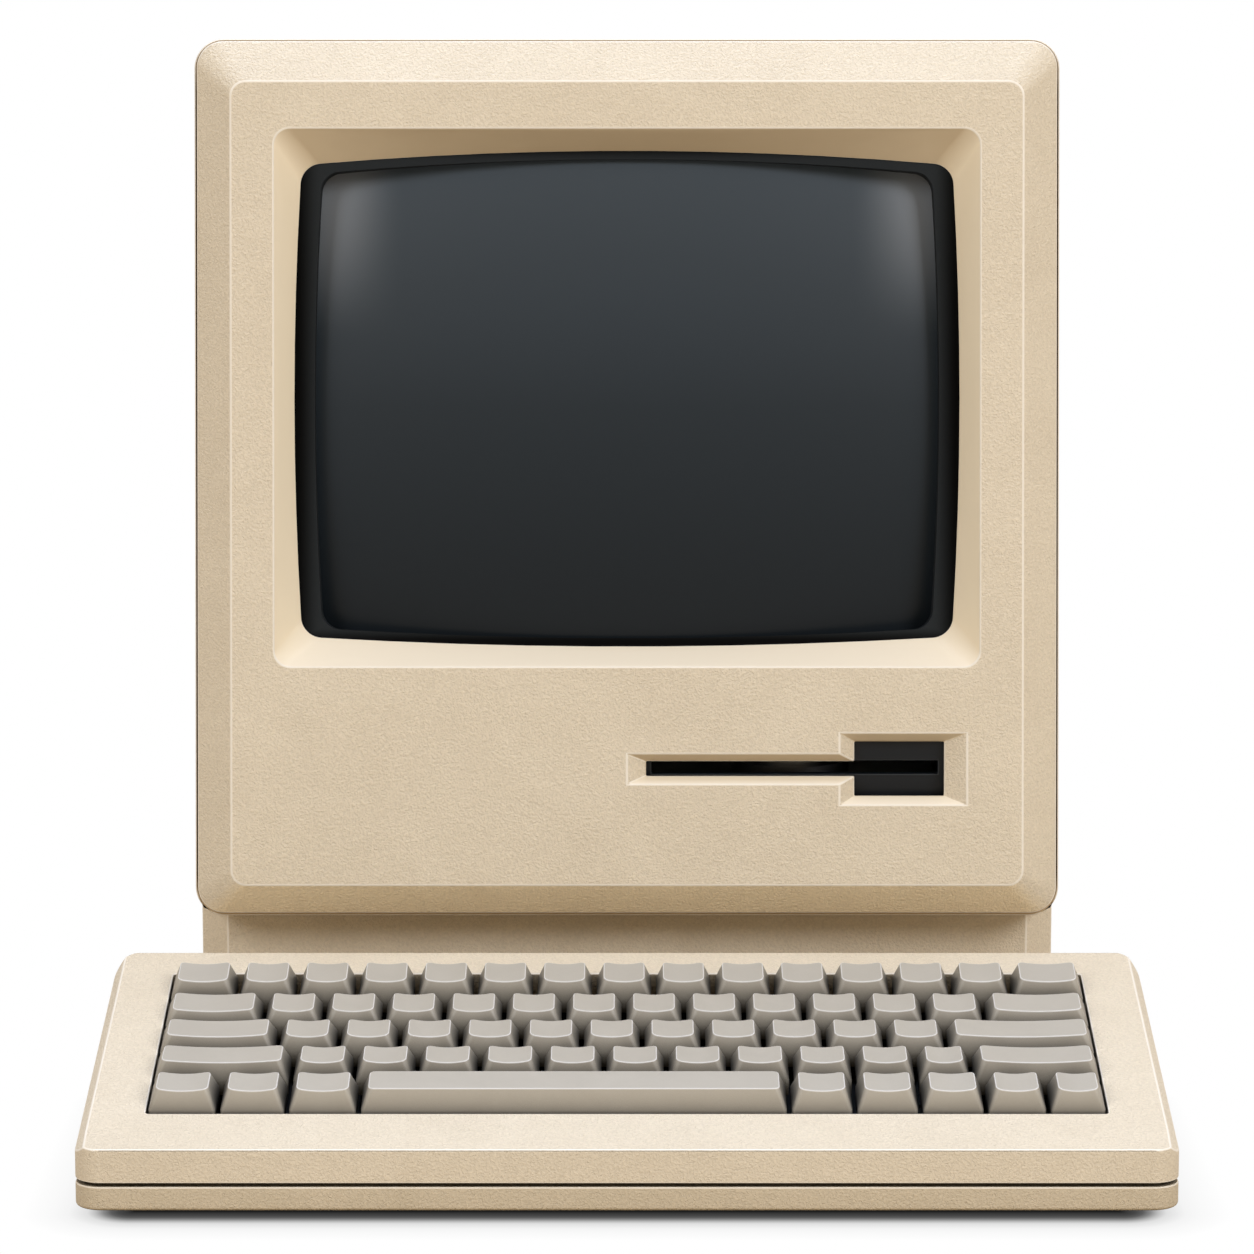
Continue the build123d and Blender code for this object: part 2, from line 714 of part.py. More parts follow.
ear_x = glass_width / 2 + fit + band_thickness + ear_reach / 2
ear_y = glass_height / 2 - ear_inset
ear_places = [(x, screen_middle + y) for x in (-ear_x, ear_x) for y in (-ear_y, ear_y)]
rim_height = bezel_height + 2 * housing_rim


def front_bezel():
    """Front plate with bevelled edges, sunk window, disk slot, lip and tube posts."""
    plateau_width = bezel_width - 2 * bevel_side
    plateau_height = bezel_height - bevel_top - bevel_bottom
    plateau_middle = bevel_bottom + plateau_height / 2
    middle = bezel_height / 2
    outer = panel(bezel_width, bezel_height, bezel_corner, middle, bevel_depth)
    body = taper(panel(plateau_width, plateau_height, plateau_corner, plateau_middle, 0), outer)
    body = body + extrude(outer, amount=-bezel_land)
    body = body + front_slab(bezel_width - 2 * groove_depth, bezel_height - 2 * groove_depth,
                             bezel_corner - groove_depth, middle, bevel_depth + bezel_land, seam_depth)
    lip_size = (2 * inner_half - 2 * fit, rim_height - 2 * housing_wall - 2 * fit)
    lip_corner = housing_corner - housing_wall - fit
    body = body + front_slab(*lip_size, lip_corner, middle, seam_depth, seam_depth + lip_length)
    hollow_size = (lip_size[0] - 2 * lip_wall, lip_size[1] - 2 * lip_wall)
    hollow_corner = lip_corner - lip_wall
    body = body - taper(panel(plateau_width - 2 * bevel_inset, plateau_height - 2 * bevel_inset,
                              plateau_corner - bevel_inset, plateau_middle, bezel_wall),
                        panel(*hollow_size, hollow_corner, middle, bevel_depth))
    body = body - front_slab(*hollow_size, hollow_corner, middle, bevel_depth,
                             seam_depth + lip_length + overcut)
    body = body + taper(panel(surround_width + 2 * surround_wall, surround_height + 2 * surround_wall,
                              surround_corner + surround_wall, screen_middle, bezel_wall / 2),
                        barrel(surround_wall, surround_depth))
    notch_top = notch_height / 2 + notch_bevel_height + slot_pad_margin
    body = body + block(slot_left - slot_bevel_side - slot_pad_margin,
                        slot_right + notch_bevel_right + slot_pad_margin,
                        slot_middle - notch_top, slot_middle + notch_top, -slot_pad, -bezel_wall / 2)
    for x, y in ear_places:
        body = body + rod(post_radius, (x, y, -bezel_wall / 2), (x, y, -band_front))
        body = body - rod(ear_hole, (x, y, -band_front + 2 * overcut), (x, y, -band_front - overcut))
    body = body - taper(panel(surround_width, surround_height, surround_corner, screen_middle, 0),
                        barrel(0, surround_depth))
    body = body - slot_cut(slot_left, slot_right, slot_height, slot_bevel_side, notch_bevel_right,
                           slot_bevel_height)
    body = body - slot_cut(notch_left, slot_right, notch_height, notch_bevel_side, notch_bevel_right,
                           notch_bevel_height)
    return front * body


rim_low = on_front(-housing_rim, seam_depth)
rim_high = on_front(bezel_height + housing_rim, seam_depth)
chin_top = rim_low[1] - (chin_y - rim_low[0]) * lean_sin / lean_cos
rear_top = rim_high[1] - (rear_y - rim_high[0]) * tan(radians(top_slope))
housing_outline = [rim_low, (chin_y, chin_top), (chin_y, case_foot), (rear_y, case_foot),
                   (rear_y, rear_top), rim_high]
screw_low_z = case_foot + pan_floor + screw_low_lift
screw_high_z = rear_top - screw_drop
screw_places = [(x, z) for x in (-screw_x, screw_x) for z in (screw_low_z, screw_high_z)]
boss_end = inner_rear - screw_boss_length
logic_base = case_foot + pan_floor + logic_lift
logic_top = logic_base + board_thickness


def chin_corners(margin, high):
    """Prisms that cut the slanting corners of the front under the bezel."""
    cuts = []
    reach = chin_chamfer + overcut
    shift = margin * (sqrt(2) - 1)
    for side in (-1, 1):
        x = side * (half_width - margin)
        y = chin_y + margin
        leg = chin_chamfer - margin + shift
        corner = Polyline((x - side * leg, y), (x - side * leg, y - reach), (x + side * reach, y - reach),
                          (x + side * reach, y + leg + reach), (x, y + leg), close=True)
        cuts.append(extrude(make_face(corner), amount=high))
    return cuts


def housing_solid(wall):
    """The housing as a full block, or the hollow inside it when a wall is taken off."""
    outline = housing_outline
    if wall:
        outline = inset(outline, [wall, wall, -overcut, wall, wall, -overcut])
    half = half_width - wall
    solid = prism_x(outline, half)
    low, high, tip = outline[3], outline[4], outline[5]
    back = [edge_at(solid, (0, *high))]
    for x in (-half, half):
        back.append(edge_at(solid, (x, (low[0] + high[0]) / 2, (low[1] + high[1]) / 2)))
        back.append(edge_at(solid, (x, (tip[0] + high[0]) / 2, (tip[1] + high[1]) / 2)))
    solid = fillet(back, housing_corner - wall)
    return solid - chin_corners(wall, chin_top + wall)


def rim_corners():
    """What rounds the housing's two lower corners behind the bezel."""
    cuts = []
    start, end = rim_low[0] - overcut, chin_y + chin_chamfer
    for side in (-1, 1):
        edge_x = side * half_width
        axis_x = edge_x - side * housing_corner
        wedge = block(min(axis_x, edge_x + side * overcut), max(axis_x, edge_x + side * overcut),
                      start, end, chin_top - overcut, rim_low[1] + housing_corner)
        drop = (end - start) * lean_sin / lean_cos
        high_axis = rim_low[1] + housing_corner + overcut * lean_sin / lean_cos
        keep = rod(housing_corner, (axis_x, start, high_axis), (axis_x, end, high_axis - drop))
        guard = block(min(axis_x, edge_x), max(axis_x, edge_x), chin_y, end, 0, chin_top)
        cuts.append(wedge - keep - guard)
    return cuts


def rear_housing():
    """Body behind the bezel: top, sides, back, shelf and front under the bezel, open below."""
    outer = housing_solid(0)
    shell = outer - housing_solid(housing_wall)
    handle_back = rear_y - handle_setback
    handle_floor = rear_top - handle_drop
    half = handle_width / 2
    tub = block(-half - housing_wall, half + housing_wall, handle_back - handle_depth - housing_wall,
                handle_back + housing_wall, handle_floor - housing_wall, rim_high[1])
    shell = shell + (tub & outer)
    shell = shell - block(-half, half, handle_back - handle_depth, handle_back, handle_floor, rim_high[1])
    vents = []
    for index in range(vent_count):
        y = rear_y - vent_setback - index * vent_pitch
        top = rear_top - vent_drop
        vents.append(block(-half_width - overcut, half_width + overcut, y - vent_width, y,
                           top - vent_height, top))
    for index in range(low_vent_count):
        y = chin_y + low_vent_setback + index * vent_pitch
        vents.append(block(-half_width - overcut, half_width + overcut, y, y + vent_width,
                           low_vent_lift, low_vent_lift + low_vent_height))
    for index in range(back_vent_count):
        x = (index - (back_vent_count - 1) / 2) * vent_pitch
        top = rear_top - back_vent_drop
        vents.append(block(x - vent_width / 2, x + vent_width / 2, inner_rear - overcut, rear_y + overcut,
                           top - back_vent_height, top))
    shell = shell - vents
    outside = rear_y + overcut
    for x, z in screw_places:
        shell = shell + rod(screw_boss, (x, inner_rear, z), (x, boss_end, z))
        shell = shell - rod(screw_head + fit, (x, rear_y - screw_sink, z), (x, outside, z))
        shell = shell - rod(screw_shank + fit, (x, boss_end - overcut, z), (x, outside, z))
    cup_floor = rear_y - dial_cup_depth
    shell = shell + rod(dial_cup + housing_wall, (dial_x, cup_floor - housing_wall, panel_z),
                        (dial_x, inner_rear, panel_z))
    shell = shell - rod(dial_cup, (dial_x, cup_floor, panel_z), (dial_x, outside, panel_z))
    shell = shell - rod(dial_shaft + running_gap, (dial_x, cup_floor - 2 * overcut, panel_z),
                        (dial_x, outside, panel_z))
    windows = [(inlet_x, panel_z, inlet_width / 2 + fit, inlet_height / 2 + fit),
               (switch_x, panel_z, frame_half_width + fit, frame_half_height + fit)]
    for x in serial_x:
        windows.append((x, logic_top + serial_height / 2, serial_shell_width / 2 + fit,
                        serial_shell_height / 2 + fit))
    for x, z, half_x, half_z in windows:
        shell = shell - block(x - half_x, x + half_x, inner_rear - overcut, outside, z - half_z, z + half_z)
    half = jack_mouth / 2 + jack_window
    base = logic_top + jack_floor - jack_window
    shell = shell - block(port_x - half, port_x + half, chin_y - overcut, chin_y + housing_wall + overcut / 2,
                          base, base + jack_mouth_height + 2 * jack_window)
    return shell - rim_corners()


# Picture tube, behind the leaning front

tube_axis = Pos(0, screen_middle, 0)


def glass_ball(radius):
    """A ball whose surface lies behind the faceplate's front by the radius it lacks."""
    return tube_axis * Pos(0, 0, -glass_apex - glass_radius) * Sphere(radius)


def screen_mask():
    """Black border that fills the room between window and glass."""
    ring = front_slab(glass_width - 2 * mask_margin, glass_height - 2 * mask_margin, mask_corner,
                      screen_middle, surround_depth, surround_depth + mask_depth)
    ring = ring - glass_ball(glass_radius + fit)
    opening = barrel(0, 0)
    wide, tall = window_width - 2 * mask_side, window_height - 2 * mask_top
    opening = scale(tube_axis.inverse() * opening, by=(wide / window_width, tall / window_height, 1))
    cut = extrude(tube_axis * (Pos(0, 0, -surround_depth - 2 * mask_depth) * opening), amount=3 * mask_depth)
    return front * (ring - cut)


def tube_faceplate():
    """Domed glass with a skirt."""
    face = front_slab(glass_width, glass_height, glass_corner, screen_middle, 0, glass_skirt)
    face = face & glass_ball(glass_radius)
    room = front_slab(glass_width - 2 * skirt_wall, glass_height - 2 * skirt_wall, glass_corner - skirt_wall,
                      screen_middle, 0, glass_skirt + overcut)
    return front * (face - (room & glass_ball(glass_radius - glass_thickness)))


def funnel_form(skirt, wall, neck, end):
    """The funnel's outside, or the room inside it, which stops short by its wall."""
    stub = 2 * (neck_radius + funnel_shoulder - wall)
    waist = panel(waist_width - 2 * wall, waist_height - 2 * wall, waist_corner - wall, screen_middle,
                  waist_depth)
    wide = panel(glass_width - 2 * skirt, glass_height - 2 * skirt, glass_corner - skirt, screen_middle,
                 glass_skirt)
    narrow = panel(stub, stub, neck_radius - wall, screen_middle, funnel_end - wall)
    pipe = rod(neck, (0, screen_middle, -funnel_end + 2 * funnel_wall), (0, screen_middle, -end))
    return taper(wide, waist) + taper(waist, narrow) + pipe


def tube_funnel():
    """Funnel and neck, hollow, closed at the end."""
    outside = funnel_form(0, 0, neck_radius, neck_end)
    inside = funnel_form(skirt_wall, funnel_wall, neck_radius - neck_wall, neck_end - neck_wall)
    return front * (outside - inside)


def tube_band():
    """Steel band round the faceplate, with four ears screwed to the bezel's posts."""
    width, height = glass_width + 2 * fit, glass_height + 2 * fit
    corner = glass_corner + fit
    grow = 2 * band_thickness
    ring = front_slab(width + grow, height + grow, corner + band_thickness, screen_middle,
                      band_front, band_front + band_length)
    hole = front_slab(width, height, corner, screen_middle, band_front - overcut,
                      band_front + band_length + overcut)
    for x, y in ear_places:
        reach = ear_reach / 2 if x > 0 else -ear_reach / 2
        inner = x - 2 * reach - reach / abs(reach) * band_thickness
        outer = x + reach
        ear = block(min(inner, outer), max(inner, outer), y - ear_height / 2, y + ear_height / 2,
                    -band_front - band_thickness, -band_front)
        ring = ring + ear - rod(ear_hole, (x, y, 0), (x, y, -band_front - overcut))
    return front * (ring - hole)


def deflection_yoke():
    """Winding block round the neck."""
    start = funnel_end + fit
    end = start + yoke_length
    runs = ((yoke_radius, start, end), (yoke_flange_radius, start, start + yoke_flange),
            (yoke_flange_radius, end - yoke_flange, end))
    ring = [rod(radius, (0, screen_middle, -near), (0, screen_middle, -far)) for radius, near, far in runs]
    bore = rod(neck_radius + fit, (0, screen_middle, 0), (0, screen_middle, -end - overcut))
    return front * (ring[0] + ring[1:] - bore)


def neck_board():
    """Small board with the socket that sits on the neck's end."""
    seat = neck_end + socket_length
    socket = rod(socket_radius, (0, screen_middle, -neck_end), (0, screen_middle, -seat))
    low, high = screen_middle - neck_board_height / 2, screen_middle + neck_board_height / 2
    return front * (socket + block(-neck_board_width / 2, neck_board_width / 2, low, high,
                                   -seat - board_thickness, -seat))


# Chassis, boards and speaker

drive_front = on_front(slot_middle + fascia_height / 2 / lean_cos, slot_pad)[0] + drive_front_gap
slot_z = on_front(slot_middle, slot_pad)[1]
drive_x = (slot_left + slot_right) / 2
drive_left, drive_right = drive_x - drive_width / 2, drive_x + drive_width / 2
tray_front = drive_front + fascia_thickness
tray_back = tray_front + drive_length
tray_floor = slot_z - drive_under + drive_sheet
shelf_z = slot_z - drive_under
ribbon_y = tray_back + ribbon_reach
pan_top = case_foot + pan_floor
leg_outer = half_width - leg_inset
analog_x = -half_width + analog_inset
analog_face = analog_x + board_thickness
analog_front = chin_y + analog_setback
flyback_x = analog_face + flyback_size / 2
flyback_y = analog_front + analog_length - flyback_back - flyback_size / 2
flyback_top = shelf_z + flyback_lift + flyback_height
speaker_y = chin_y + speaker_setback
speaker_z = pan_top + speaker_lift


def pan_block(margin, low, high):
    """A block that fits the housing's foot, drawn in by a margin."""
    gap = housing_wall + fit + margin
    side = half_width - gap
    body = block(-side, side, chin_y + gap, rear_y - gap, low, high)
    corners = [edge_at(body, (x, rear_y - gap, (low + high) / 2)) for x in (-side, side)]
    return fillet(corners, housing_corner - gap) - chin_corners(gap, high + overcut)


def base_pan():
    """Floor of the computer, with a rim, board posts and two tabs for the lower screws."""
    pan = pan_block(0, case_foot, case_foot + pan_rim)
    pan = pan - pan_block(pan_rim_wall, pan_top, case_foot + pan_rim + overcut)
    for x in (-logic_half + standoff_inset, logic_half - standoff_inset):
        for y in (logic_front + standoff_inset, logic_back - standoff_inset):
            pan = pan + rod(standoff_radius, (x, y, case_foot), (x, y, logic_base))
    for x in (-screw_x, screw_x):
        tab = block(x - screw_margin, x + screw_margin, boss_end - sheet, boss_end,
                    case_foot, screw_low_z + screw_margin)
        pan = pan + tab - rod(screw_shank + fit / 2, (x, boss_end - overcut, screw_low_z),
                              (x, boss_end + overcut, screw_low_z))
    return pan


logic_front = chin_y + housing_wall + fit + pan_rim_wall + logic_front_gap
logic_back = inner_rear - logic_back_gap


def logic_chips():
    """Packages on the logic board, under the drive shelf."""
    chips = []
    start_x = -chip_pitch_x * (chip_columns - 1) / 2
    start_y = logic_front + chip_pitch_y
    for column in range(chip_columns):
        for row in range(chip_rows):
            x, y = start_x + column * chip_pitch_x, start_y + row * chip_pitch_y
            chips.append(block(x - chip_width / 2, x + chip_width / 2, y - chip_length / 2,
                               y + chip_length / 2, logic_top, logic_top + chip_height))
    return Compound([chip.solid() for chip in chips])


def chassis_frame():
    """Sheet-metal bridge over the logic board, with two uprights for the upper screws."""
    start = chin_y + shelf_setback
    frame = block(-leg_outer, leg_outer, start, boss_end, shelf_z - sheet, shelf_z)
    for side in (-1, 1):
        outer, inner = side * leg_outer, side * (leg_outer - sheet)
        frame = frame + block(min(outer, inner), max(outer, inner), start, boss_end - 2 * sheet,
                              pan_top, shelf_z)
        x = side * screw_x
        frame = frame + block(x - upright_width / 2, x + upright_width / 2, boss_end - sheet, boss_end,
                              shelf_z - sheet, screw_high_z + screw_margin)
        frame = frame - rod(screw_shank + fit / 2, (x, boss_end - overcut, screw_high_z),
                            (x, boss_end + overcut, screw_high_z))
    half = ribbon_width / 2 + ribbon_hole
    frame = frame - block(drive_x - half, drive_x + half, ribbon_y - ribbon_thickness - ribbon_hole,
                          ribbon_y + ribbon_hole, shelf_z - sheet - overcut, shelf_z + overcut)
    return frame - rod(speaker_cone + fit, (-leg_outer - overcut, speaker_y, speaker_z),
                       (-leg_outer + 2 * overcut, speaker_y, speaker_z))


def speaker():
    """Loudspeaker on the left leg, facing the low vents."""
    face = -leg_outer - speaker_flange
    back = -leg_outer + speaker_basket
    body = rod(speaker_radius, (face, speaker_y, speaker_z), (-leg_outer, speaker_y, speaker_z))
    body = body + rod(speaker_cone, (-leg_outer, speaker_y, speaker_z), (back, speaker_y, speaker_z))
    body = body + rod(speaker_magnet, (back, speaker_y, speaker_z),
                      (back + speaker_magnet_length, speaker_y, speaker_z))
    dish = Plane(origin=(face, speaker_y, speaker_z), z_dir=(1, 0, 0)) * Cone(
        speaker_cone - speaker_flange, speaker_magnet / 2, speaker_basket,
        align=(Align.CENTER, Align.CENTER, Align.MIN))
    return body - dish


def board_capacitors():
    """Upright cans on the analog board."""
    cans = []
    z = shelf_z + capacitor_lift
    for index in range(capacitor_count):
        y = analog_front + capacitor_pitch * (index + 1)
        cans.append(rod(capacitor_radius, (analog_face, y, z), (analog_face + capacitor_length, y, z)))
    return Compound([can.solid() for can in cans])


def anode_lead():
    """High-voltage cap on the funnel and the lead from it to the flyback transformer."""
    slope_y = (glass_height - waist_height) / 2
    slope_z = waist_depth - glass_skirt
    length = sqrt(slope_y ** 2 + slope_z ** 2)
    out = Vector(0, slope_z / length, -slope_y / length)
    foot = Vector(0, screen_middle + (glass_height + waist_height) / 4, -(waist_depth + glass_skirt) / 2)
    cap = front * rod(anode_radius, tuple(foot), tuple(foot + out * anode_height))
    start = front.from_local_coords(foot + out * anode_height)
    rise = front.from_local_coords(foot + out * (anode_height + lead_rise))
    over = (flyback_x, rise.Y + lead_rise, rise.Z)
    down = (flyback_x, flyback_y, flyback_top + lead_rise)
    path = FilletPolyline(tuple(start), tuple(rise), over, down, (flyback_x, flyback_y, flyback_top),
                          radius=lead_bend)
    along = Plane(origin=tuple(start), z_dir=tuple(rise - start))
    return cap + sweep(along * Circle(lead_radius), path=path)


# Disk drive

def drive_frame():
    """Tray with side walls, spindle boss and guides for the heads."""
    low = slot_z - drive_under
    high = slot_z + drive_over
    tray = block(drive_left, drive_right, tray_front, tray_back, low, high)
    tray = tray - block(drive_left + drive_sheet, drive_right - drive_sheet, tray_front - overcut,
                        tray_back - drive_sheet, tray_floor, high + overcut)
    boss_top = rotor_low - fit
    spindle_y = drive_front + spindle_setback
    tray = tray + rod(spindle_boss, (drive_x, spindle_y, low), (drive_x, spindle_y, boss_top))
    tray = tray - rod(spindle_shaft + running_gap, (drive_x, spindle_y, low - overcut),
                      (drive_x, spindle_y, boss_top + overcut))
    inner = carriage_width / 2 + fit
    for side in (-1, 1):
        edges = (drive_x + side * inner, drive_x + side * (inner + guide_width))
        tray = tray + block(min(edges), max(edges), carriage_start, carriage_end + carriage_travel,
                            tray_floor, tray_floor + guide_height)
    return tray


rotor_low = slot_z - hub_drop - hub_thickness - rotor_height
disk_end = drive_front + disk_depth
carriage_start = disk_end - carriage_reach
carriage_end = disk_end + carriage_back


def drive_fascia():
    """Dark front of the drive: an upper and a lower bar joined at the ends of the slot."""
    plate = block(drive_left, drive_right, drive_front, tray_front, slot_z - fascia_height / 2,
                  slot_z + fascia_height / 2)
    return plate - block(drive_x - fascia_slot_width / 2, drive_x + fascia_slot_width / 2,
                         drive_front - overcut, tray_front + overcut,
                         slot_z - fascia_slot_height / 2, slot_z + fascia_slot_height / 2)


def drive_spindle():
    """Hub, rotor and shaft that turn the disk."""
    y = drive_front + spindle_setback
    top = slot_z - hub_drop
    bottom = slot_z - drive_under + shaft_clear
    turn = rod(hub_radius, (drive_x, y, top - hub_thickness), (drive_x, y, top))
    turn = turn + rod(rotor_radius, (drive_x, y, rotor_low), (drive_x, y, top - hub_thickness))
    return turn + rod(spindle_shaft, (drive_x, y, bottom), (drive_x, y, rotor_low))


def drive_head_carriage():
    """Sliding carriage with a head arm below and above the disk."""
    left, right = drive_x - carriage_width / 2, drive_x + carriage_width / 2
    bottom = tray_floor + fit
    over = slot_z + carriage_clear
    low = block(left, right, carriage_start, carriage_end, bottom, slot_z - carriage_clear)
    post = block(left, right, carriage_end - carriage_post, carriage_end, bottom, over + carriage_arm)
    arm = block(left, right, carriage_start, carriage_end, over, over + carriage_arm)
    return low + post + arm


def drive_ribbon():
    """Flat cable from the drive's back down to the logic board."""
    high = slot_z - ribbon_drop
    low = high - ribbon_thickness
    near = ribbon_y - ribbon_thickness
    strip = prism_x([(tray_back, low), (near, low), (near, logic_top), (ribbon_y, logic_top),
                     (ribbon_y, high), (tray_back, high)], ribbon_width / 2)
    strip = fillet(edge_at(strip, (0, near, low)), ribbon_bend)
    strip = fillet(edge_at(strip, (0, ribbon_y, high)), ribbon_bend + ribbon_thickness)
    return Pos(drive_x, 0, 0) * strip


# Back panel

frame_half_width = rocker_width / 2 + fit + frame_wall
frame_half_height = rocker_height / 2 + rocker_clear + frame_wall
rocker_y = rear_y - rocker_set


def power_inlet():
    """Mains socket with three blades, held by a flange inside the back wall."""
    body = block(inlet_x - inlet_width / 2, inlet_x + inlet_width / 2, rear_y - inlet_depth, rear_y,
                 panel_z - inlet_height / 2, panel_z + inlet_height / 2)
    wide, tall = inlet_width / 2 + inlet_flange, inlet_height / 2 + inlet_flange
    body = body + block(inlet_x - wide, inlet_x + wide, inner_rear - inlet_flange_thickness, inner_rear,
                        panel_z - tall, panel_z + tall)
    wide, tall = inlet_width / 2 - inlet_wall, inlet_height / 2 - inlet_wall
    floor = rear_y - inlet_mouth_depth
    body = body - block(inlet_x - wide, inlet_x + wide, floor, rear_y + overcut,
                        panel_z - tall, panel_z + tall)
    for index in (-1, 0, 1):
        x = inlet_x + index * pin_pitch
        body = body + block(x - pin_thickness / 2, x + pin_thickness / 2, floor - inlet_wall,
                            floor + pin_length, panel_z - pin_width / 2, panel_z + pin_width / 2)
    return body


def switch_frame():
    """Frame of the power switch, flush with the back wall."""
    body = block(switch_x - frame_half_width, switch_x + frame_half_width, rear_y - frame_depth, rear_y,
                 panel_z - frame_half_height, panel_z + frame_half_height)
    wide, tall = frame_half_width + frame_flange, frame_half_height + frame_flange
    body = body + block(switch_x - wide, switch_x + wide, inner_rear - frame_flange_thickness, inner_rear,
                        panel_z - tall, panel_z + tall)
    wide, tall = frame_half_width - frame_wall, frame_half_height - frame_wall
    body = body - block(switch_x - wide, switch_x + wide, rear_y - frame_depth + frame_wall, rear_y + overcut,
                        panel_z - tall, panel_z + tall)
    reach = rocker_width / 2 + rocker_pin_length + fit
    return body - rod(rocker_pin + running_gap, (switch_x - reach, rocker_y, panel_z),
                      (switch_x + reach, rocker_y, panel_z))


def power_switch():
    """Rocker on two pins, leaning to its off side."""
    half = rocker_height / 2
    face = rocker_front + rocker_lift
    outline = [(-rocker_back, -half + rocker_waist), (face, -half), (rocker_front, 0), (face, half),
               (-rocker_back, half - rocker_waist)]
    reach = rocker_width / 2 + rocker_pin_length
    rocker = prism_x(outline, rocker_width / 2) + rod(rocker_pin, (-reach, 0, 0), (reach, 0, 0))
    return Pos(switch_x, rocker_y, panel_z) * Rot(-rocker_tilt, 0, 0) * rocker


def brightness_dial():
    """Fluted knob in its cup, with a shaft through the back wall."""
    base = rear_y - dial_cup_depth + dial_gap
    knob = rod(dial_radius, (dial_x, base, panel_z), (dial_x, base + dial_length, panel_z))
    for index in range(dial_flutes):
        turn = radians(360 * index / dial_flutes)
        x, z = dial_x + dial_radius * cos(turn), panel_z + dial_radius * sin(turn)
        knob = knob - rod(dial_flute, (x, base - overcut, z), (x, rear_y + overcut, z))
    return knob + rod(dial_shaft, (dial_x, base - dial_shaft_length, panel_z), (dial_x, base, panel_z))


dial_gap = dial_cup_depth - dial_length - fit


def serial_ports():
    """Two alike connectors at the back of the logic board."""
    ports = []
    for x in serial_x:
        middle = logic_top + serial_height / 2
        body = block(x - serial_width / 2, x + serial_width / 2, inner_rear - serial_depth, inner_rear,
                     logic_top, logic_top + serial_height)
        outlet = Plane(origin=(x, inner_rear, middle), x_dir=(1, 0, 0), z_dir=(0, 1, 0))
        shell = slab(serial_shell_width, serial_shell_height, serial_shell_corner, 0, housing_wall)
        room = slab(serial_shell_width - 2 * serial_shell_wall, serial_shell_height - 2 * serial_shell_wall,
                    serial_shell_corner - serial_shell_wall, 0, housing_wall + overcut)
        ports.append((body + outlet * (shell - room)).solid())
    return Compound(ports)


def case_screws():
    """Four alike screws through the back."""
    screws = []
    for x, z in screw_places:
        seat = rear_y - screw_sink
        head = rod(screw_head, (x, seat, z), (x, seat + screw_head_height, z))
        screws.append((head + rod(screw_shank, (x, boss_end - 2 * sheet, z), (x, seat, z))).solid())
    return Compound(screws)


def case_feet():
    """Four rubber feet under the pan."""
    side = half_width - foot_inset
    rows = (chin_y + foot_inset, rear_y - foot_inset)
    places = [(x, y) for x in (-side, side) for y in rows]
    return Compound([rod(foot_radius, (x, y, 0), (x, y, case_foot)).solid() for x, y in places])


def write_computer():
    """Everything in the computer's case."""
    write("front_bezel", front_bezel())
    write("rear_housing", rear_housing())
    write("base_pan", base_pan())
    write("screen_mask", screen_mask())
    write("tube_faceplate", tube_faceplate())
    write("tube_funnel", tube_funnel())
    write("tube_band", tube_band())
    write("deflection_yoke", deflection_yoke())
    write("neck_board", neck_board())
    write("anode_lead", anode_lead())
    write("chassis_frame", chassis_frame())
    write("logic_board", block(-logic_half, logic_half, logic_front, logic_back, logic_base, logic_top))
    write("logic_chips", logic_chips())
    write("analog_board", block(analog_x, analog_face, analog_front, analog_front + analog_length,
                                shelf_z, shelf_z + analog_height))
    write("flyback_transformer", block(analog_face, analog_face + flyback_size,
                                       flyback_y - flyback_size / 2, flyback_y + flyback_size / 2,
                                       flyback_top - flyback_height, flyback_top))
    write("board_capacitors", board_capacitors())
    write("speaker", speaker())
    write("drive_frame", drive_frame())
    write("drive_lid", block(drive_left, drive_right, tray_front, tray_back, slot_z + drive_over,
                             slot_z + drive_over + drive_lid_thickness))
    write("drive_fascia", drive_fascia())
    write("drive_spindle", drive_spindle())
    write("drive_head_carriage", drive_head_carriage())
    write("drive_ribbon", drive_ribbon())
    write("power_inlet", power_inlet())
    write("switch_frame", switch_frame())
    write("power_switch", power_switch())
    write("brightness_dial", brightness_dial())
    write("serial_ports", serial_ports())
    write("keyboard_port", modular_jack(port_x, chin_y + housing_wall, logic_top, 1))
    write("case_screws", case_screws())
    write("case_feet", case_feet())


os.makedirs("parts", exist_ok=True)
write_keyboard()
write_keys()
write_computer()
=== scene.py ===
import json
from math import cos, radians, sin, tan

import bmesh
import bpy
from mathutils import Matrix, Vector

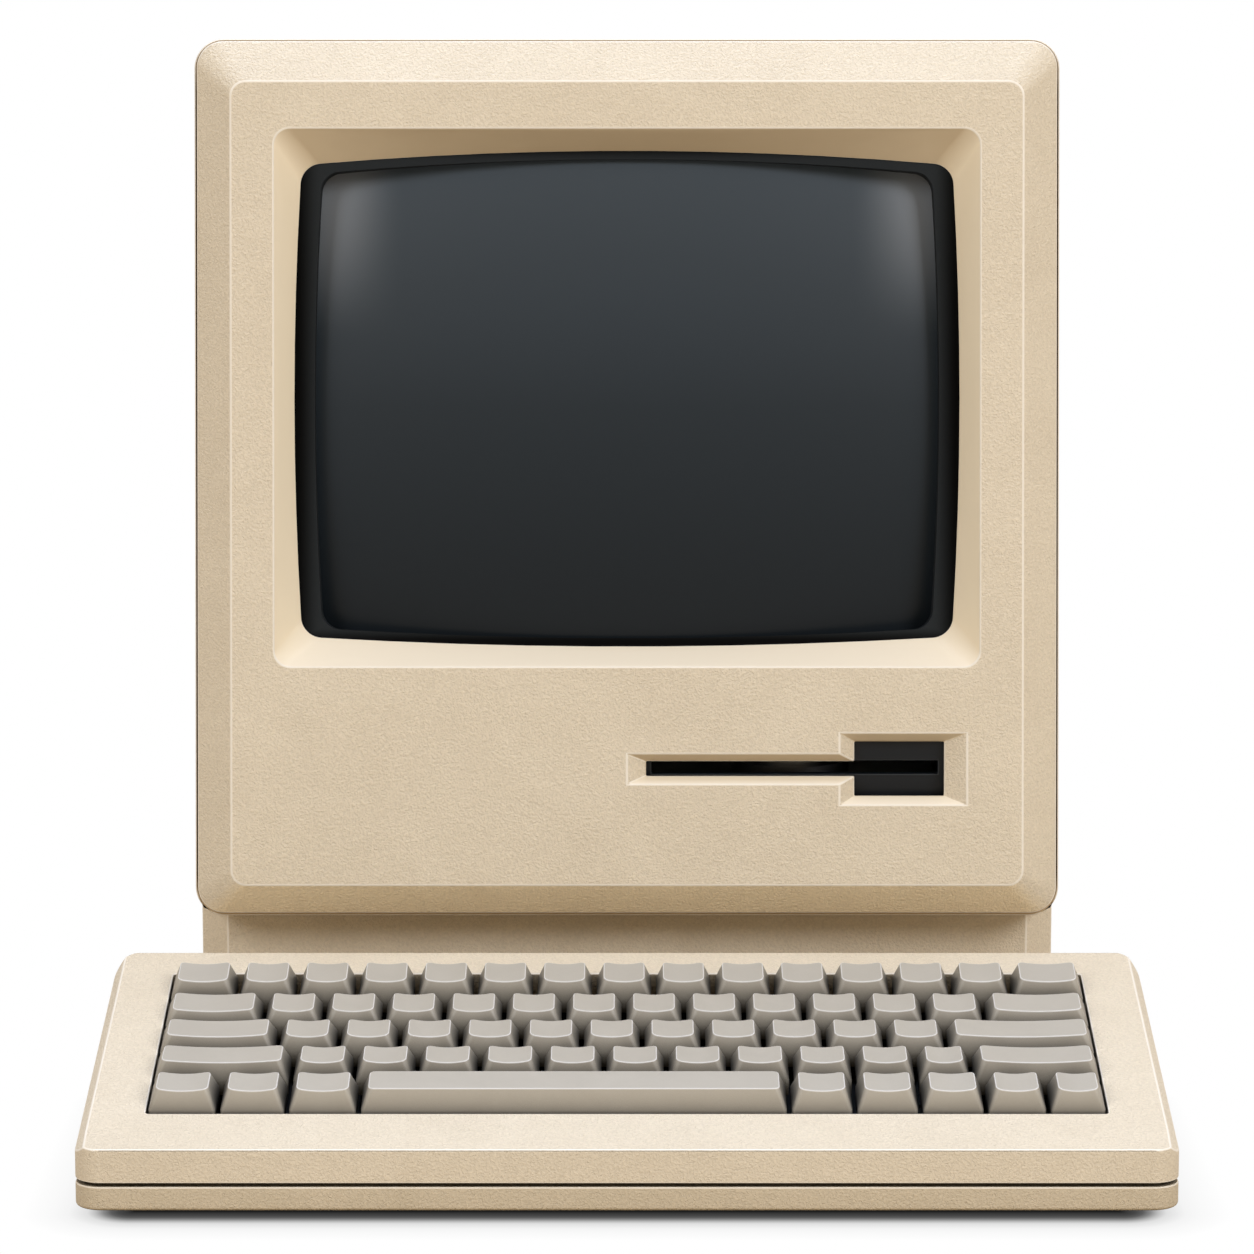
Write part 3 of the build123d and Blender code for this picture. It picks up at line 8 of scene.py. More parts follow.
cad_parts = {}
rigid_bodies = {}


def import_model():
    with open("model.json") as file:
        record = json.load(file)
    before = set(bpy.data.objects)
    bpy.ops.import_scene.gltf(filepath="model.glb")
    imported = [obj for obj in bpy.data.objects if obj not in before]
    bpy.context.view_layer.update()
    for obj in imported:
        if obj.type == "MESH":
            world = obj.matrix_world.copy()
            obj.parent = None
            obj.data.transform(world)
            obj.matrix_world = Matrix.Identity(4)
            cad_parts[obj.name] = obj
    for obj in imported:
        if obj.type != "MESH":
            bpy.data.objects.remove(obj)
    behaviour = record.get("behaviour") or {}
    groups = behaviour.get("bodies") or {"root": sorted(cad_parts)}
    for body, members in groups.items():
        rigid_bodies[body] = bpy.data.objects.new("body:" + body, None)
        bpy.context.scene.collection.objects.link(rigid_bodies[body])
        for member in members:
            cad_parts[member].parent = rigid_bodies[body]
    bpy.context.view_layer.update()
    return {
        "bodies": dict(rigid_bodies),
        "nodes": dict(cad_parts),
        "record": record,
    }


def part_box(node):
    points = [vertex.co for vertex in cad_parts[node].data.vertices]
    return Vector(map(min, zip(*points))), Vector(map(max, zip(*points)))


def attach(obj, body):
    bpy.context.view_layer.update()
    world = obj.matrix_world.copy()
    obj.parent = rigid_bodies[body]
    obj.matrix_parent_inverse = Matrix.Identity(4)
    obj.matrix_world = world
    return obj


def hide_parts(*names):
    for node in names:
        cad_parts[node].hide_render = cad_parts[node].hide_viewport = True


# Looks of a desktop computer with a picture tube, a disk slot and a separate keyboard.
# Metres; X runs to the right, Y away from the user, Z up from the desk.

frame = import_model()
record = frame["record"]
body_of_node = {node: body for body, nodes in record["behaviour"]["bodies"].items() for node in nodes}
slot_of_node = {row["node"]: row["material_slot"] for row in record["subparts"]}

# Sizes shared with the solids
whole_depth = 0.4429
keyboard_front = -whole_depth / 2
keyboard_width = 0.3326
keyboard_depth = 0.138
well_setback = 0.024
deck_slope = radians(12.7)
deck_start = 0.020
key_sink = 0.0045
key_skirt_depth = 0.01745
key_top_setback = 0.0026
key_top_inset = 0.00425
key_top_depth = 0.0125
key_dish = 0.0009
key_corner = 0.0012
key_top_corner = 0.0018
key_inner_corner = 0.0006
key_wall = 0.0014
key_roof = 0.0022
key_stem = 0.004
key_stem_corner = 0.0002
key_stem_end = -0.0068              # stem's end, measured from the deck
front_heights = (0.0061, 0.0050, 0.0056, 0.0063, 0.0063)
back_heights = (0.0064, 0.0048, 0.00495, 0.0053, 0.0059)
key_rows = (("escape_key", "number_row_keys", "delete_key"),
            ("tab_key", "upper_letter_keys", "backslash_key"),
            ("caps_lock_key", "home_letter_keys", "return_key"),
            ("left_shift_key", "lower_letter_keys", "right_shift_key"),
            ("control_key", "alternate_key", "function_key", "space_bar", "enter_key",
             "left_arrow_key", "right_arrow_key", "down_arrow_key", "up_arrow_key"))

bezel_foot = (-0.06855, 0.0586)     # lowest edge of the leaning front, in Y and Z
bezel_lean = radians(8)
screen_middle = 0.1707              # middle of the glass above that edge, along the front
bezel_width = 0.285
bezel_height = 0.289
bezel_corner = 0.0087
seam_depth = 0.0115                 # rim of the housing behind the front
surround_width = 0.233
surround_height = 0.1776
surround_depth = 0.012
slot_middle = 0.0482                # disk slot above that edge
slot_ends = (-0.0005, 0.1128)       # ends of its slopes, in X
slot_reach = 0.0124                 # half the height of its slopes
slot_bevel_depth = 0.0035
glass_width = 0.232
glass_height = 0.176
glass_corner = 0.015
glass_radius = 0.6
glass_apex = 0.009                  # glass behind the front, in the middle
glass_skirt = 0.048                 # and at the back of its skirt
shadow_strip_outside = 0.00064              # painted shadow strip past the bezel's outline, and under it
shadow_strip_inside = 0.0004
shadow_strip_front = seam_depth - 0.0001
shadow_strip_back = seam_depth + 0.0002
case_front = -0.0425
case_back = whole_depth / 2

# Roundings, which the solids leave sharp
shell_round = 0.0004
small_round = 0.0003
key_rim_round = 0.00032
merge_distance = 2e-6
sharp_angle = radians(20)
slope_facing = (0.1, 0.85)          # how far a slope sunk into the bezel looks forward, at least and at most
slot_facing = 0.3                   # and how far up or down one of the disk slot looks, at least

# Fineness of the meshes
round_segments = 2
even_weight = 100
least_size = 1e-6
key_steps = (4, 8)                  # to a corner and to a side
glass_steps = (6, 16)
shadow_strip_steps = (8, 4)
rim_turns = (0, 22.5, 45, 67.5, 90)             # degrees round the upper edge of a cap
top_shares = (0.85, 0.65, 0.45, 0.25, 0.08)     # rings across the top of a cap
glass_rings = 40
floor_segments = 96

# Stage
floor_radius = 6.0
floor_tone = (0.55, 0.475, 0.375)
shade_inset = 0.0052                # the painted contact shadow starts this far under a case
shade_side_inset = 0.018            # and this far in from its sides
shade_side_share = 0.92             # it runs out a little farther there
shade_reach = 0.031                 # how far it runs out elsewhere
shade_tones = ((0.0, 0.0125), (0.07, 0.041), (0.145, 0.063), (0.213, 0.109), (0.28, 0.255), (0.35, 0.52),
               (0.42, 0.745), (0.59, 0.905), (0.726, 0.947), (0.86, 0.973), (1.0, 1.0))
warm_light = (1.0, 0.83, 0.62)
white_light = (0.965, 0.985, 1.045)
cool_light = (0.62, 0.735, 0.97)
sky_strength = 0.41
softboxes = (                       # name, place, aim, size, watts and colour
    ("right_softbox", (1.85, -1.9, 1.7), (0, 0, 0.15), 1.2, 42.3, white_light),
    ("left_softbox", (-1.85, -1.9, 1.7), (0, 0, 0.15), 1.2, 28, white_light),
    ("top_softbox", (0, 0.4, 2.5), (0, -0.1, 0.1), 1.4, 59.5, cool_light),
)
camera_place = (0, -1.58705, 0.3954)
camera_down = 9                     # degrees below level
sensor_width = 36                   # millimetres, as is the focal length
focal_length = 134.93

# Tones and finishes; a finish is roughness and shine
seam_heights = (0.0563, 0.3439)     # foot and top of the line round the bezel
# Painted shade of the line round the bezel, from its foot to its top
seam_shadow_tones = ((0.0, (0.62, 0.46, 0.27)), (0.008, (0.62, 0.46, 0.27)), (0.045, (0.045, 0.022, 0.005)),
              (0.94, (0.045, 0.022, 0.005)), (0.985, (0.45, 0.36, 0.25)), (1.0, (0.45, 0.36, 0.25)))
# Painted shade and light on the surround's slopes, by facing, from down to up
recess_shade_tones = ((0.06, (0.52, 0.40, 0.245)), (0.5, (0.92, 0.80, 0.59)), (0.94, (0.82, 0.725, 0.56)))
mask_sides = (0.1015, 0.1095)       # painted shade on the border deepens over these distances from the middle
mask_heights = (0.0765, 0.0815)
mask_shade_tones = ((0.0, (0.020, 0.023, 0.025)), (1.0, (0.0012, 0.0012, 0.0012)))
# Painted reflection: the glass grows paler towards the top
glass_reflection_tones = ((0.0, (0.006, 0.0089, 0.0118)), (0.5, (0.022, 0.0290, 0.0355)), (1.0, (0.054, 0.069, 0.084)))
reflection_sides = (0.074, 0.106)         # the painted reflection in the corners comes in over these distances
reflection_heights = (0.243, 0.306)       # and heights
painted_reflection_tone = (0.25, 0.27, 0.29)
bounce_facings = (-0.15, -0.6)         # painted warm bounce light: warmer from the first of these facings to the second
painted_bounce_tint = (1.22, 1.16, 1.02, 1)
# Painted shade in gaps: its reach, and its tone by how open a place is
shell_gap_shade = (0.004, ((0.0, 0.1), (0.45, 0.5), (0.8, 1.0)))
key_gap_shade = (0.008, ((0.0, 0.1), (0.5, 0.45), (0.85, 0.86), (1.0, 1.0)))
skin = (1300, 1.0, 0.0005, 0.11)    # grain to the metre, its strength, depth and tone
key_skin = (2600, 0.12, 0.0001, 0.03)
noise_swirl = 0.6
grain_detail = 2.0
fleck_range = (0.35, 0.65)
case_clouds = 38                    # patches to the metre
key_clouds = 60
cloud_detail = 5
cloud_roughness = 0.6
cloud_range = (0.32, 0.68)
gap_shade_samples = 8
wear_scale = 90
wear_detail = 3
wear_range = (0.3, 0.7)
wear_change = 0.06                  # of the roughness, up and down
least_rough = 0.02
case_finish = (0.5, 0.35)
key_finish = (0.42, 0.4)
glass_finish = (0.3, 0.22)
mask_finish = (0.7, 0.05)
seam_finish = (0.8, 0.1)


# Materials

def new_material(name):
    """An empty material with its node tree and main shader."""
    made = bpy.data.materials.new(name)
    made.use_nodes = True
    tree = made.node_tree
    return made, tree.nodes, tree.links, tree.nodes["Principled BSDF"]


def noise(nodes, links, scale, detail, roughness=0.5):
    """Noise fixed to the piece, at so many waves to the metre."""
    place = nodes.new("ShaderNodeTexCoord")
    made = nodes.new("ShaderNodeTexNoise")
    made.inputs["Scale"].default_value = scale
    made.inputs["Detail"].default_value = detail
    made.inputs["Roughness"].default_value = roughness
    made.inputs["Distortion"].default_value = noise_swirl
    links.new(place.outputs["Object"], made.inputs["Vector"])
    return made.outputs["Fac"]


def ramp(nodes, links, value, stops):
    """Colours along a value."""
    made = nodes.new("ShaderNodeValToRGB")
    bands = made.color_ramp.elements
    while len(bands) < len(stops):
        bands.new(0.5)
    for band, (position, colour) in zip(bands, stops):
        band.position = position
        band.color = (*colour, 1)
    links.new(value, made.inputs["Fac"])
    return made.outputs["Color"]


def bump(nodes, links, shader, height, strength, distance):
    """Fine relief on a shader."""
    made = nodes.new("ShaderNodeBump")
    made.inputs["Strength"].default_value = strength
    made.inputs["Distance"].default_value = distance
    links.new(height, made.inputs["Height"])
    links.new(made.outputs["Normal"], shader.inputs["Normal"])


def blend(nodes, links, kind, share, first, second):
    """Two colours mixed or multiplied; the share and the second may be plain values."""
    made = nodes.new("ShaderNodeMix")
    made.data_type = "RGBA"
    made.blend_type = kind
    for socket, given in ((made.inputs["Factor"], share), (made.inputs[6], first), (made.inputs[7], second)):
        if isinstance(given, (int, float, tuple)):
            socket.default_value = given
        else:
            links.new(given, socket)
    return made.outputs[2]


def painted_gap_shade(nodes, links, colour, reach, stops):
    """Painted shade: a colour made darker in narrow gaps, up to a reach from what shuts out the light."""
    shade = nodes.new("ShaderNodeAmbientOcclusion")
    shade.samples = gap_shade_samples
    shade.inputs["Distance"].default_value = reach
    tone = ramp(nodes, links, shade.outputs["AO"], [(at, (level,) * 3) for at, level in stops])
    return blend(nodes, links, "MULTIPLY", 1.0, colour, tone)


def split_facing(nodes, links):
    """How far up or down a face looks, from 1 to -1."""
    facing = nodes.new("ShaderNodeNewGeometry")
    split = nodes.new("ShaderNodeSeparateXYZ")
    links.new(facing.outputs["Normal"], split.inputs["Vector"])
    return split.outputs["Z"]


def spread(nodes, links, value, low, high, smooth=True):
    """A value's share of the way from low to high."""
    made = nodes.new("ShaderNodeMapRange")
    made.interpolation_type = "SMOOTHSTEP" if smooth else "LINEAR"
    made.inputs["From Min"].default_value = low
    made.inputs["From Max"].default_value = high
    links.new(value, made.inputs["Value"])
    return made.outputs["Result"]


def set_finish(shader, rough, shine):
    """Roughness and shine of a shader."""
    shader.inputs["Roughness"].default_value = rough
    shader.inputs["Specular IOR Level"].default_value = shine


def moulded(name, pale, deep, cloud_scale, finish, grain, gap):
    """Moulded plastic with a fine skin and faint cloudy patches, with painted shade in its gaps and a
    painted warm bounce on faces that look down.
    """
    made, nodes, links, shader = new_material(name)
    grain_scale, grain_strength, grain_depth, grain_tone = grain
    relief = noise(nodes, links, grain_scale, grain_detail)
    clouds = noise(nodes, links, cloud_scale, cloud_detail, cloud_roughness)
    colour = ramp(nodes, links, clouds, list(zip(cloud_range, (deep, pale))))
    flecks = ramp(nodes, links, relief, list(zip(fleck_range, ((1 - grain_tone,) * 3, (1,) * 3))))
    colour = blend(nodes, links, "MULTIPLY", 1.0, colour, flecks)
    # painted warm bounce light on faces that look down
    below = spread(nodes, links, split_facing(nodes, links), *bounce_facings)
    bounce_warmed = blend(nodes, links, "MULTIPLY", 1.0, colour, painted_bounce_tint)
    colour = blend(nodes, links, "MIX", below, colour, bounce_warmed)
    links.new(painted_gap_shade(nodes, links, colour, *gap), shader.inputs["Base Color"])
    set_finish(shader, *finish)
    bump(nodes, links, shader, relief, grain_strength, grain_depth)
    return made


def plain(name, colour, rough, metal=0.0, shine=0.5):
    """One colour, with a faint change of gloss."""
    made, nodes, links, shader = new_material(name)
    shader.inputs["Base Color"].default_value = (*colour, 1)
    shader.inputs["Metallic"].default_value = metal
    shader.inputs["Specular IOR Level"].default_value = shine
    worn = noise(nodes, links, wear_scale, wear_detail)
    low, high = max(rough - wear_change, least_rough), min(rough + wear_change, 1)
    stops = list(zip(wear_range, ((low,) * 3, (high,) * 3)))
    links.new(ramp(nodes, links, worn, stops), shader.inputs["Roughness"])
    return made


def figure(nodes, links, operation, first, second):
    """One step of arithmetic on two values, which may be plain numbers."""
    made = nodes.new("ShaderNodeMath")
    made.operation = operation
    for socket, given in zip(made.inputs, (first, second)):
        if isinstance(given, (int, float)):
            socket.default_value = given
        else:
            links.new(given, socket)
    return made.outputs["Value"]


def split_place(nodes, links, body=None):
    """X, Y and Z on the piece, or as a body that moves carries them along."""
    place = nodes.new("ShaderNodeTexCoord")
    if body:
        place.object = frame["bodies"][body]
    split = nodes.new("ShaderNodeSeparateXYZ")
    links.new(place.outputs["Object"], split.inputs["Vector"])
    return split.outputs["X"], split.outputs["Y"], split.outputs["Z"]


def screen_glass():
    """Dark picture-tube glass with painted reflection: paler towards the top, and clouded with light in its
    upper corners.
    """
    made, nodes, links, shader = new_material("picture_tube_glass")
    low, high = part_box("tube_faceplate")
    x, _, z = split_place(nodes, links)
    tone = ramp(nodes, links, spread(nodes, links, z, low.z, high.z, False), glass_reflection_tones)
    aside = figure(nodes, links, "ABSOLUTE", x, 0)
    reflection_share = figure(nodes, links, "MULTIPLY", spread(nodes, links, aside, *reflection_sides),
                  spread(nodes, links, z, *reflection_heights))
    links.new(blend(nodes, links, "MIX", reflection_share, tone, (*painted_reflection_tone, 1)), shader.inputs["Base Color"])
    set_finish(shader, *glass_finish)
    return made


def recess_painted_shade():
    """The surround's slopes, with painted shade and light: deeper in tone where they face down, paler at the
    sides and below.
    """
    made, nodes, links, shader = new_material("recess_painted_shade")
    tone = ramp(nodes, links, spread(nodes, links, split_facing(nodes, links), -1, 1, False), recess_shade_tones)
    links.new(tone, shader.inputs["Base Color"])
    set_finish(shader, *case_finish)
    return made


def mask_black():
    """The black border of the picture, with painted shade: deepest at its outer edge, a little less deep
    towards its inner edge.
    """
    made, nodes, links, shader = new_material("mask_black")
    x, _, z = split_place(nodes, links)
    middle = bezel_foot[1] + screen_middle * cos(bezel_lean)
    aside = spread(nodes, links, figure(nodes, links, "ABSOLUTE", x, 0), *mask_sides)
    above = figure(nodes, links, "ABSOLUTE", figure(nodes, links, "SUBTRACT", z, middle), 0)
    edge = figure(nodes, links, "MAXIMUM", aside, spread(nodes, links, above, *mask_heights))
    links.new(ramp(nodes, links, edge, mask_shade_tones), shader.inputs["Base Color"])
    set_finish(shader, *mask_finish)
    return made


def seam_shadow():
    """Painted shade for the line round the bezel: tan along the top, dark brown at the sides and softer
    below.
    """
    made, nodes, links, shader = new_material("seam_shadow")
    _, _, z = split_place(nodes, links)
    tone = ramp(nodes, links, spread(nodes, links, z, *seam_heights, False), seam_shadow_tones)
    links.new(tone, shader.inputs["Base Color"])
    set_finish(shader, *seam_finish)
    return made


beige = moulded("beige_plastic", (0.775, 0.676, 0.514), (0.735, 0.636, 0.478),
                case_clouds, case_finish, skin, shell_gap_shade)
# the beige made darker: painted shade on the keyboard's base, low by the floor
beige_base_shaded = moulded("beige_base_shaded", (0.645, 0.545, 0.390), (0.605, 0.51, 0.36),
                     case_clouds, case_finish, skin, shell_gap_shade)
# paler than the beige: painted highlight on rounded edges that stand out
beige_edge_highlight = plain("beige_edge_highlight", (0.83, 0.76, 0.64), 0.45)
key_plastic = moulded("key_plastic", (0.442, 0.408, 0.343), (0.422, 0.388, 0.324),
                      key_clouds, key_finish, key_skin, key_gap_shade)
# paler than the key plastic: painted highlight on the caps' rims
key_rim_highlight = plain("key_rim_highlight", (0.64, 0.62, 0.58), 0.4)
# paler than the dark plastic: painted highlight on rounded edges of the dark parts
dark_edge_highlight = plain("dark_edge_highlight", (0.022, 0.027, 0.032), 0.4)
recess_shade = recess_painted_shade()
materials = {
    "beige_plastic": beige,
    "key_plastic": key_plastic,
    "dark_plastic": plain("dark_plastic", (0.004, 0.006, 0.0085), 0.42, shine=0.36),
    "screen_black": mask_black(),
    "tube_glass": screen_glass(),
    "sheet_steel": plain("sheet_steel", (0.5, 0.51, 0.52), 0.38, metal=1.0),
    "key_plate_metal": plain("key_plate_metal", (0.006, 0.006, 0.006), 0.7, shine=0.2),
    "circuit_board": plain("circuit_board", (0.02, 0.10, 0.04), 0.35),
    "copper_winding": plain("copper_winding", (0.45, 0.16, 0.05), 0.4, metal=1.0),
    "speaker_paper": plain("speaker_paper", (0.01, 0.01, 0.01), 0.9),
    "black_rubber": plain("black_rubber", (0.012, 0.012, 0.012), 0.75),
    "screw_steel": plain("screw_steel", (0.4, 0.4, 0.4), 0.3, metal=1.0),
}
for node, piece in frame["nodes"].items():
    piece.data.materials.clear()
    piece.data.materials.append(materials[slot_of_node[node]])


# Pieces

front = Matrix(((1, 0, 0, 0),
                (0, sin(bezel_lean), -cos(bezel_lean), bezel_foot[0]),
                (0, cos(bezel_lean), sin(bezel_lean), bezel_foot[1]),
                (0, 0, 0, 1)))


def add_piece(name, work, material):
    """An object made from a working mesh, which ends with it."""
    mesh = bpy.data.meshes.new(name)
    work.to_mesh(mesh)
    work.free()
    mesh.materials.append(material)
    piece = bpy.data.objects.new(name, mesh)
    bpy.context.scene.collection.objects.link(piece)
    return piece


def stand_for(name, work, node):
    """A finished mesh that replaces a solid and moves with it."""
    work.normal_update()
    piece = add_piece(name, work, materials[slot_of_node[node]])
    for face in piece.data.polygons:
        face.use_smooth = True
    weighted = piece.modifiers.new("even_normals", "WEIGHTED_NORMAL")
    weighted.weight = even_weight
    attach(piece, body_of_node[node])
    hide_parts(node)
    return piece


def merged_solid(node):
    """A solid's mesh as a working copy with its corners joined."""
    work = bmesh.new()
    work.from_mesh(frame["nodes"][node].data)
    bmesh.ops.remove_doubles(work, verts=work.verts[:], dist=merge_distance)
    return work


def rounded_shell(node, radius):
    """A solid with its sharp edges rounded; those that stand out take the second material, a painted
    highlight.
    """
    work = merged_solid(node)
    sharp = [edge for edge in work.edges
             if len(edge.link_faces) == 2 and edge.calc_face_angle() > sharp_angle]
    rounded = bmesh.ops.bevel(work, geom=sharp, offset=radius, offset_type="OFFSET", segments=round_segments,
                              profile=0.5, affect="EDGES", clamp_overlap=False, material=-1)["faces"]
    work.normal_update()
    for face in rounded:
        if sum(edge.calc_face_angle_signed(0) for edge in face.edges if len(edge.link_faces) == 2) > 0:
            face.material_index = 1
    return stand_for(node + "_shell", work, node)


def in_recess(middle, facing):
    """Whether a face of the bezel is a slope of the surround, or one above or below the disk slot."""
    if not slope_facing[0] < facing.z < slope_facing[1]:
        return False
    if abs(middle.x) < surround_width / 2 and abs(middle.y - screen_middle) < surround_height / 2:
        return -surround_depth < middle.z < 0
    return (slot_ends[0] < middle.x < slot_ends[1] and abs(middle.y - slot_middle) < slot_reach
            and -slot_bevel_depth < middle.z < 0 and abs(facing.y) > slot_facing)


for node in ("front_bezel", "rear_housing", "keyboard_top_case", "keyboard_base"):
    shell = rounded_shell(node, shell_round)
    shell.data.materials.append(beige_edge_highlight)
    if node == "keyboard_base":
        shell.data.materials[0] = beige_base_shaded
    if node == "front_bezel":
        shell.data.materials.append(recess_shade)
        # the surround's slopes take the material with painted shade and light
        for face in shell.data.polygons:
            middle, facing = front.inverted() @ face.center, front.inverted().to_3x3() @ face.normal
            if face.material_index == 0 and in_recess(middle, facing):
                face.material_index = 2
for node in ("drive_fascia", "power_switch", "brightness_dial", "switch_frame", "power_inlet"):
    rounded_shell(node, small_round).data.materials.append(dark_edge_highlight)


# Keys

deck = Matrix(((1, 0, 0, 0),
               (0, cos(deck_slope), -sin(deck_slope), keyboard_front + well_setback),
               (0, sin(deck_slope), cos(deck_slope), deck_start + well_setback * tan(deck_slope)),
               (0, 0, 0, 1)))


def cap_places(node):
    """Middle (x, y) on the deck and skirt width of each cap in a node."""
    work = bmesh.new()
    work.from_mesh(frame["nodes"][node].data)
    work.transform(deck.inverted())
    bmesh.ops.remove_doubles(work, verts=work.verts[:], dist=merge_distance)
    places, seen = [], set()
    for start in work.verts:
        if start in seen:
            continue
        island, waiting = [], [start]
        seen.add(start)
        while waiting:
            vertex = waiting.pop()
            island.append(vertex.co.copy())
            for edge in vertex.link_edges:
                other = edge.other_vert(vertex)
                if other not in seen:
                    seen.add(other)
                    waiting.append(other)
        xs, ys = [p.x for p in island], [p.y for p in island]
        places.append(((min(xs) + max(xs)) / 2, (min(ys) + max(ys)) / 2, max(xs) - min(xs)))
    work.free()
    return sorted(places)


def outline(width, depth, corner, corner_steps, side_steps):
    """Points round a rounded rectangle, as many on each for every size."""
    corner = max(min(corner, width / 2 - least_size, depth / 2 - least_size), least_size)
    right, back = width / 2 - corner, depth / 2 - corner
    centres = ((right, back, 0), (-right, back, 90), (-right, -back, 180), (right, -back, 270))
    points = []
    for index, (x, y, start) in enumerate(centres):
        arc = []
        for step in range(corner_steps + 1):
            turn = radians(start + 90 * step / corner_steps)
            arc.append((x + corner * cos(turn), y + corner * sin(turn)))
        points += arc
        next_x, next_y, next_start = centres[(index + 1) % 4]
        end = (next_x + corner * cos(radians(next_start)), next_y + corner * sin(radians(next_start)))
        for step in range(1, side_steps):
            share = step / side_steps
            points.append((arc[-1][0] + (end[0] - arc[-1][0]) * share,
                           arc[-1][1] + (end[1] - arc[-1][1]) * share))
    return points


def join_rings(work, rings):
    """Faces between rings of points, closed at both ends, and the list of those between each two rings."""
    made = [[work.verts.new(point) for point in ring] for ring in rings]
    count = len(made[0])
    bands = []
    for lower, upper in zip(made, made[1:]):
        bands.append([work.faces.new((lower[index], lower[(index + 1) % count],
                                      upper[(index + 1) % count], upper[index])) for index in range(count)])
    work.faces.new(made[-1])
    work.faces.new(list(reversed(made[0])))
    return bands


def add_cap(work, x, y, width, low, high, dished):
    """A keycap with rounded pale edges, a painted highlight, and a dished top, hollow below, in the deck's
    own frame.
    """
    top_width = width - key_top_inset
    top_y = -key_skirt_depth / 2 + key_top_setback + key_top_depth / 2
    lean = (high - low) / key_top_depth
    skirt = outline(width, key_skirt_depth, key_corner, *key_steps)
    mouth = outline(width - 2 * key_wall, key_skirt_depth - 2 * key_wall, key_inner_corner, *key_steps)
    ceiling = outline(top_width - 2 * key_wall, key_top_depth - 2 * key_wall, key_inner_corner, *key_steps)
    roof = (low + high) / 2 - key_roof
    stem = outline(key_stem, key_stem, key_stem_corner, *key_steps)
    rings = [[(px, py, key_stem_end) for px, py in stem]]
    rings += [[(px, py, roof + lean * (py - top_y)) for px, py in stem]]
    rings += [[(px, top_y + py, roof + lean * py) for px, py in ceiling]]
    rings += [[(px, py, level) for px, py in mouth] for level in (0, -key_sink)]
    rings += [[(px, py, level) for px, py in skirt] for level in (-key_sink, 0)]
    levels = [(key_rim_round * (1 - cos(radians(turn))), key_rim_round * (sin(radians(turn)) - 1))
              for turn in rim_turns]
    tops = [(top_width - 2 * inward, key_top_depth - 2 * inward, key_top_corner - inward, drop)
            for inward, drop in levels]
    tops += [(tops[-1][0] * share, tops[-1][1] * share, tops[-1][2] * share, 0)
             for share in top_shares]
    rim_start, rim_end = len(rings), len(rings) + len(levels) - 1
    for across, deep, corner, drop in tops:
        ring = []
        for px, py in outline(across, deep, corner, *key_steps):
            hollow = key_dish * (1 - (2 * px / top_width) ** 2) if dished else 0
            ring.append((px, top_y + py, (low + high) / 2 + lean * py - hollow + drop))
        rings.append(ring)
    bands = join_rings(work, [[(x + px, y + py, pz) for px, py, pz in ring] for ring in rings])
    # the rim's faces take the painted highlight
    for band in bands[rim_start:rim_end]:
        for face in band:
            face.material_index = 1


for row, row_keys in enumerate(key_rows):
    for node in row_keys:
        caps = bmesh.new()
        for x, y, width in cap_places(node):
            add_cap(caps, x, y, width, front_heights[row], back_heights[row], node != "space_bar")
        caps.transform(deck)
        stand_for(node + "_caps", caps, node).data.materials.append(key_rim_highlight)


# Picture tube

def glass_dome():
    """The tube's face as one even dome, with its skirt."""
    rings = [[(px, screen_middle + py, -glass_skirt)
              for px, py in outline(glass_width, glass_height, glass_corner, *glass_steps)]]
    for step in range(glass_rings):
        share = 1 - step / glass_rings
        ring = []
        for px, py in outline(glass_width * share, glass_height * share, glass_corner * share, *glass_steps):
            sag = glass_radius - (glass_radius ** 2 - px ** 2 - py ** 2) ** 0.5
            ring.append((px, screen_middle + py, -glass_apex - sag))
        rings.append(ring)
    dome = bmesh.new()
    join_rings(dome, rings)
    dome.transform(front)
    stand_for("picture_tube_face", dome, "tube_faceplate")


glass_dome()


def painted_seam_shadow():
    """A thin strip in the gap between the bezel and the housing, a painted shadow toned like the shade
    there.
    """
    sizes = ((shadow_strip_outside, shadow_strip_front), (shadow_strip_outside, shadow_strip_back), (-shadow_strip_inside, shadow_strip_back),
             (-shadow_strip_inside, shadow_strip_front))
    shadow_strip = bmesh.new()
    rings = []
    for grow, depth in sizes:
        points = outline(bezel_width + 2 * grow, bezel_height + 2 * grow, bezel_corner + grow, *shadow_strip_steps)
        rings.append([shadow_strip.verts.new((px, bezel_height / 2 + py, -depth)) for px, py in points])
    count = len(rings[0])
    for lower, upper in zip(rings, rings[1:] + rings[:1]):
        for index in range(count):
            after = (index + 1) % count
            shadow_strip.faces.new((lower[index], upper[index], upper[after], lower[after]))
    bmesh.ops.recalc_face_normals(shadow_strip, faces=shadow_strip.faces[:])
    shadow_strip.transform(front)
    piece = add_piece("painted_seam_shadow", shadow_strip, seam_shadow())
    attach(piece, "computer")


painted_seam_shadow()


# Stage: floor, light and camera

def footprint_shade(nodes, links, body, width, front_edge, back_edge):
    """Metres outside a body's footprint on the floor, made a little smaller all round."""
    x, y, _ = split_place(nodes, links, body)
    aside = figure(nodes, links, "ABSOLUTE", x, 0)
    aside = figure(nodes, links, "SUBTRACT", aside, width / 2 - shade_side_inset)
    across = figure(nodes, links, "MULTIPLY", figure(nodes, links, "MAXIMUM", aside, 0), shade_side_share)
    before = figure(nodes, links, "SUBTRACT", front_edge + shade_inset, y)
    behind = figure(nodes, links, "SUBTRACT", y, back_edge - shade_inset)
    along = figure(nodes, links, "MAXIMUM", figure(nodes, links, "MAXIMUM", before, behind), 0)
    square = figure(nodes, links, "ADD", figure(nodes, links, "POWER", across, 2),
                    figure(nodes, links, "POWER", along, 2))
    return figure(nodes, links, "SQRT", square, 0)


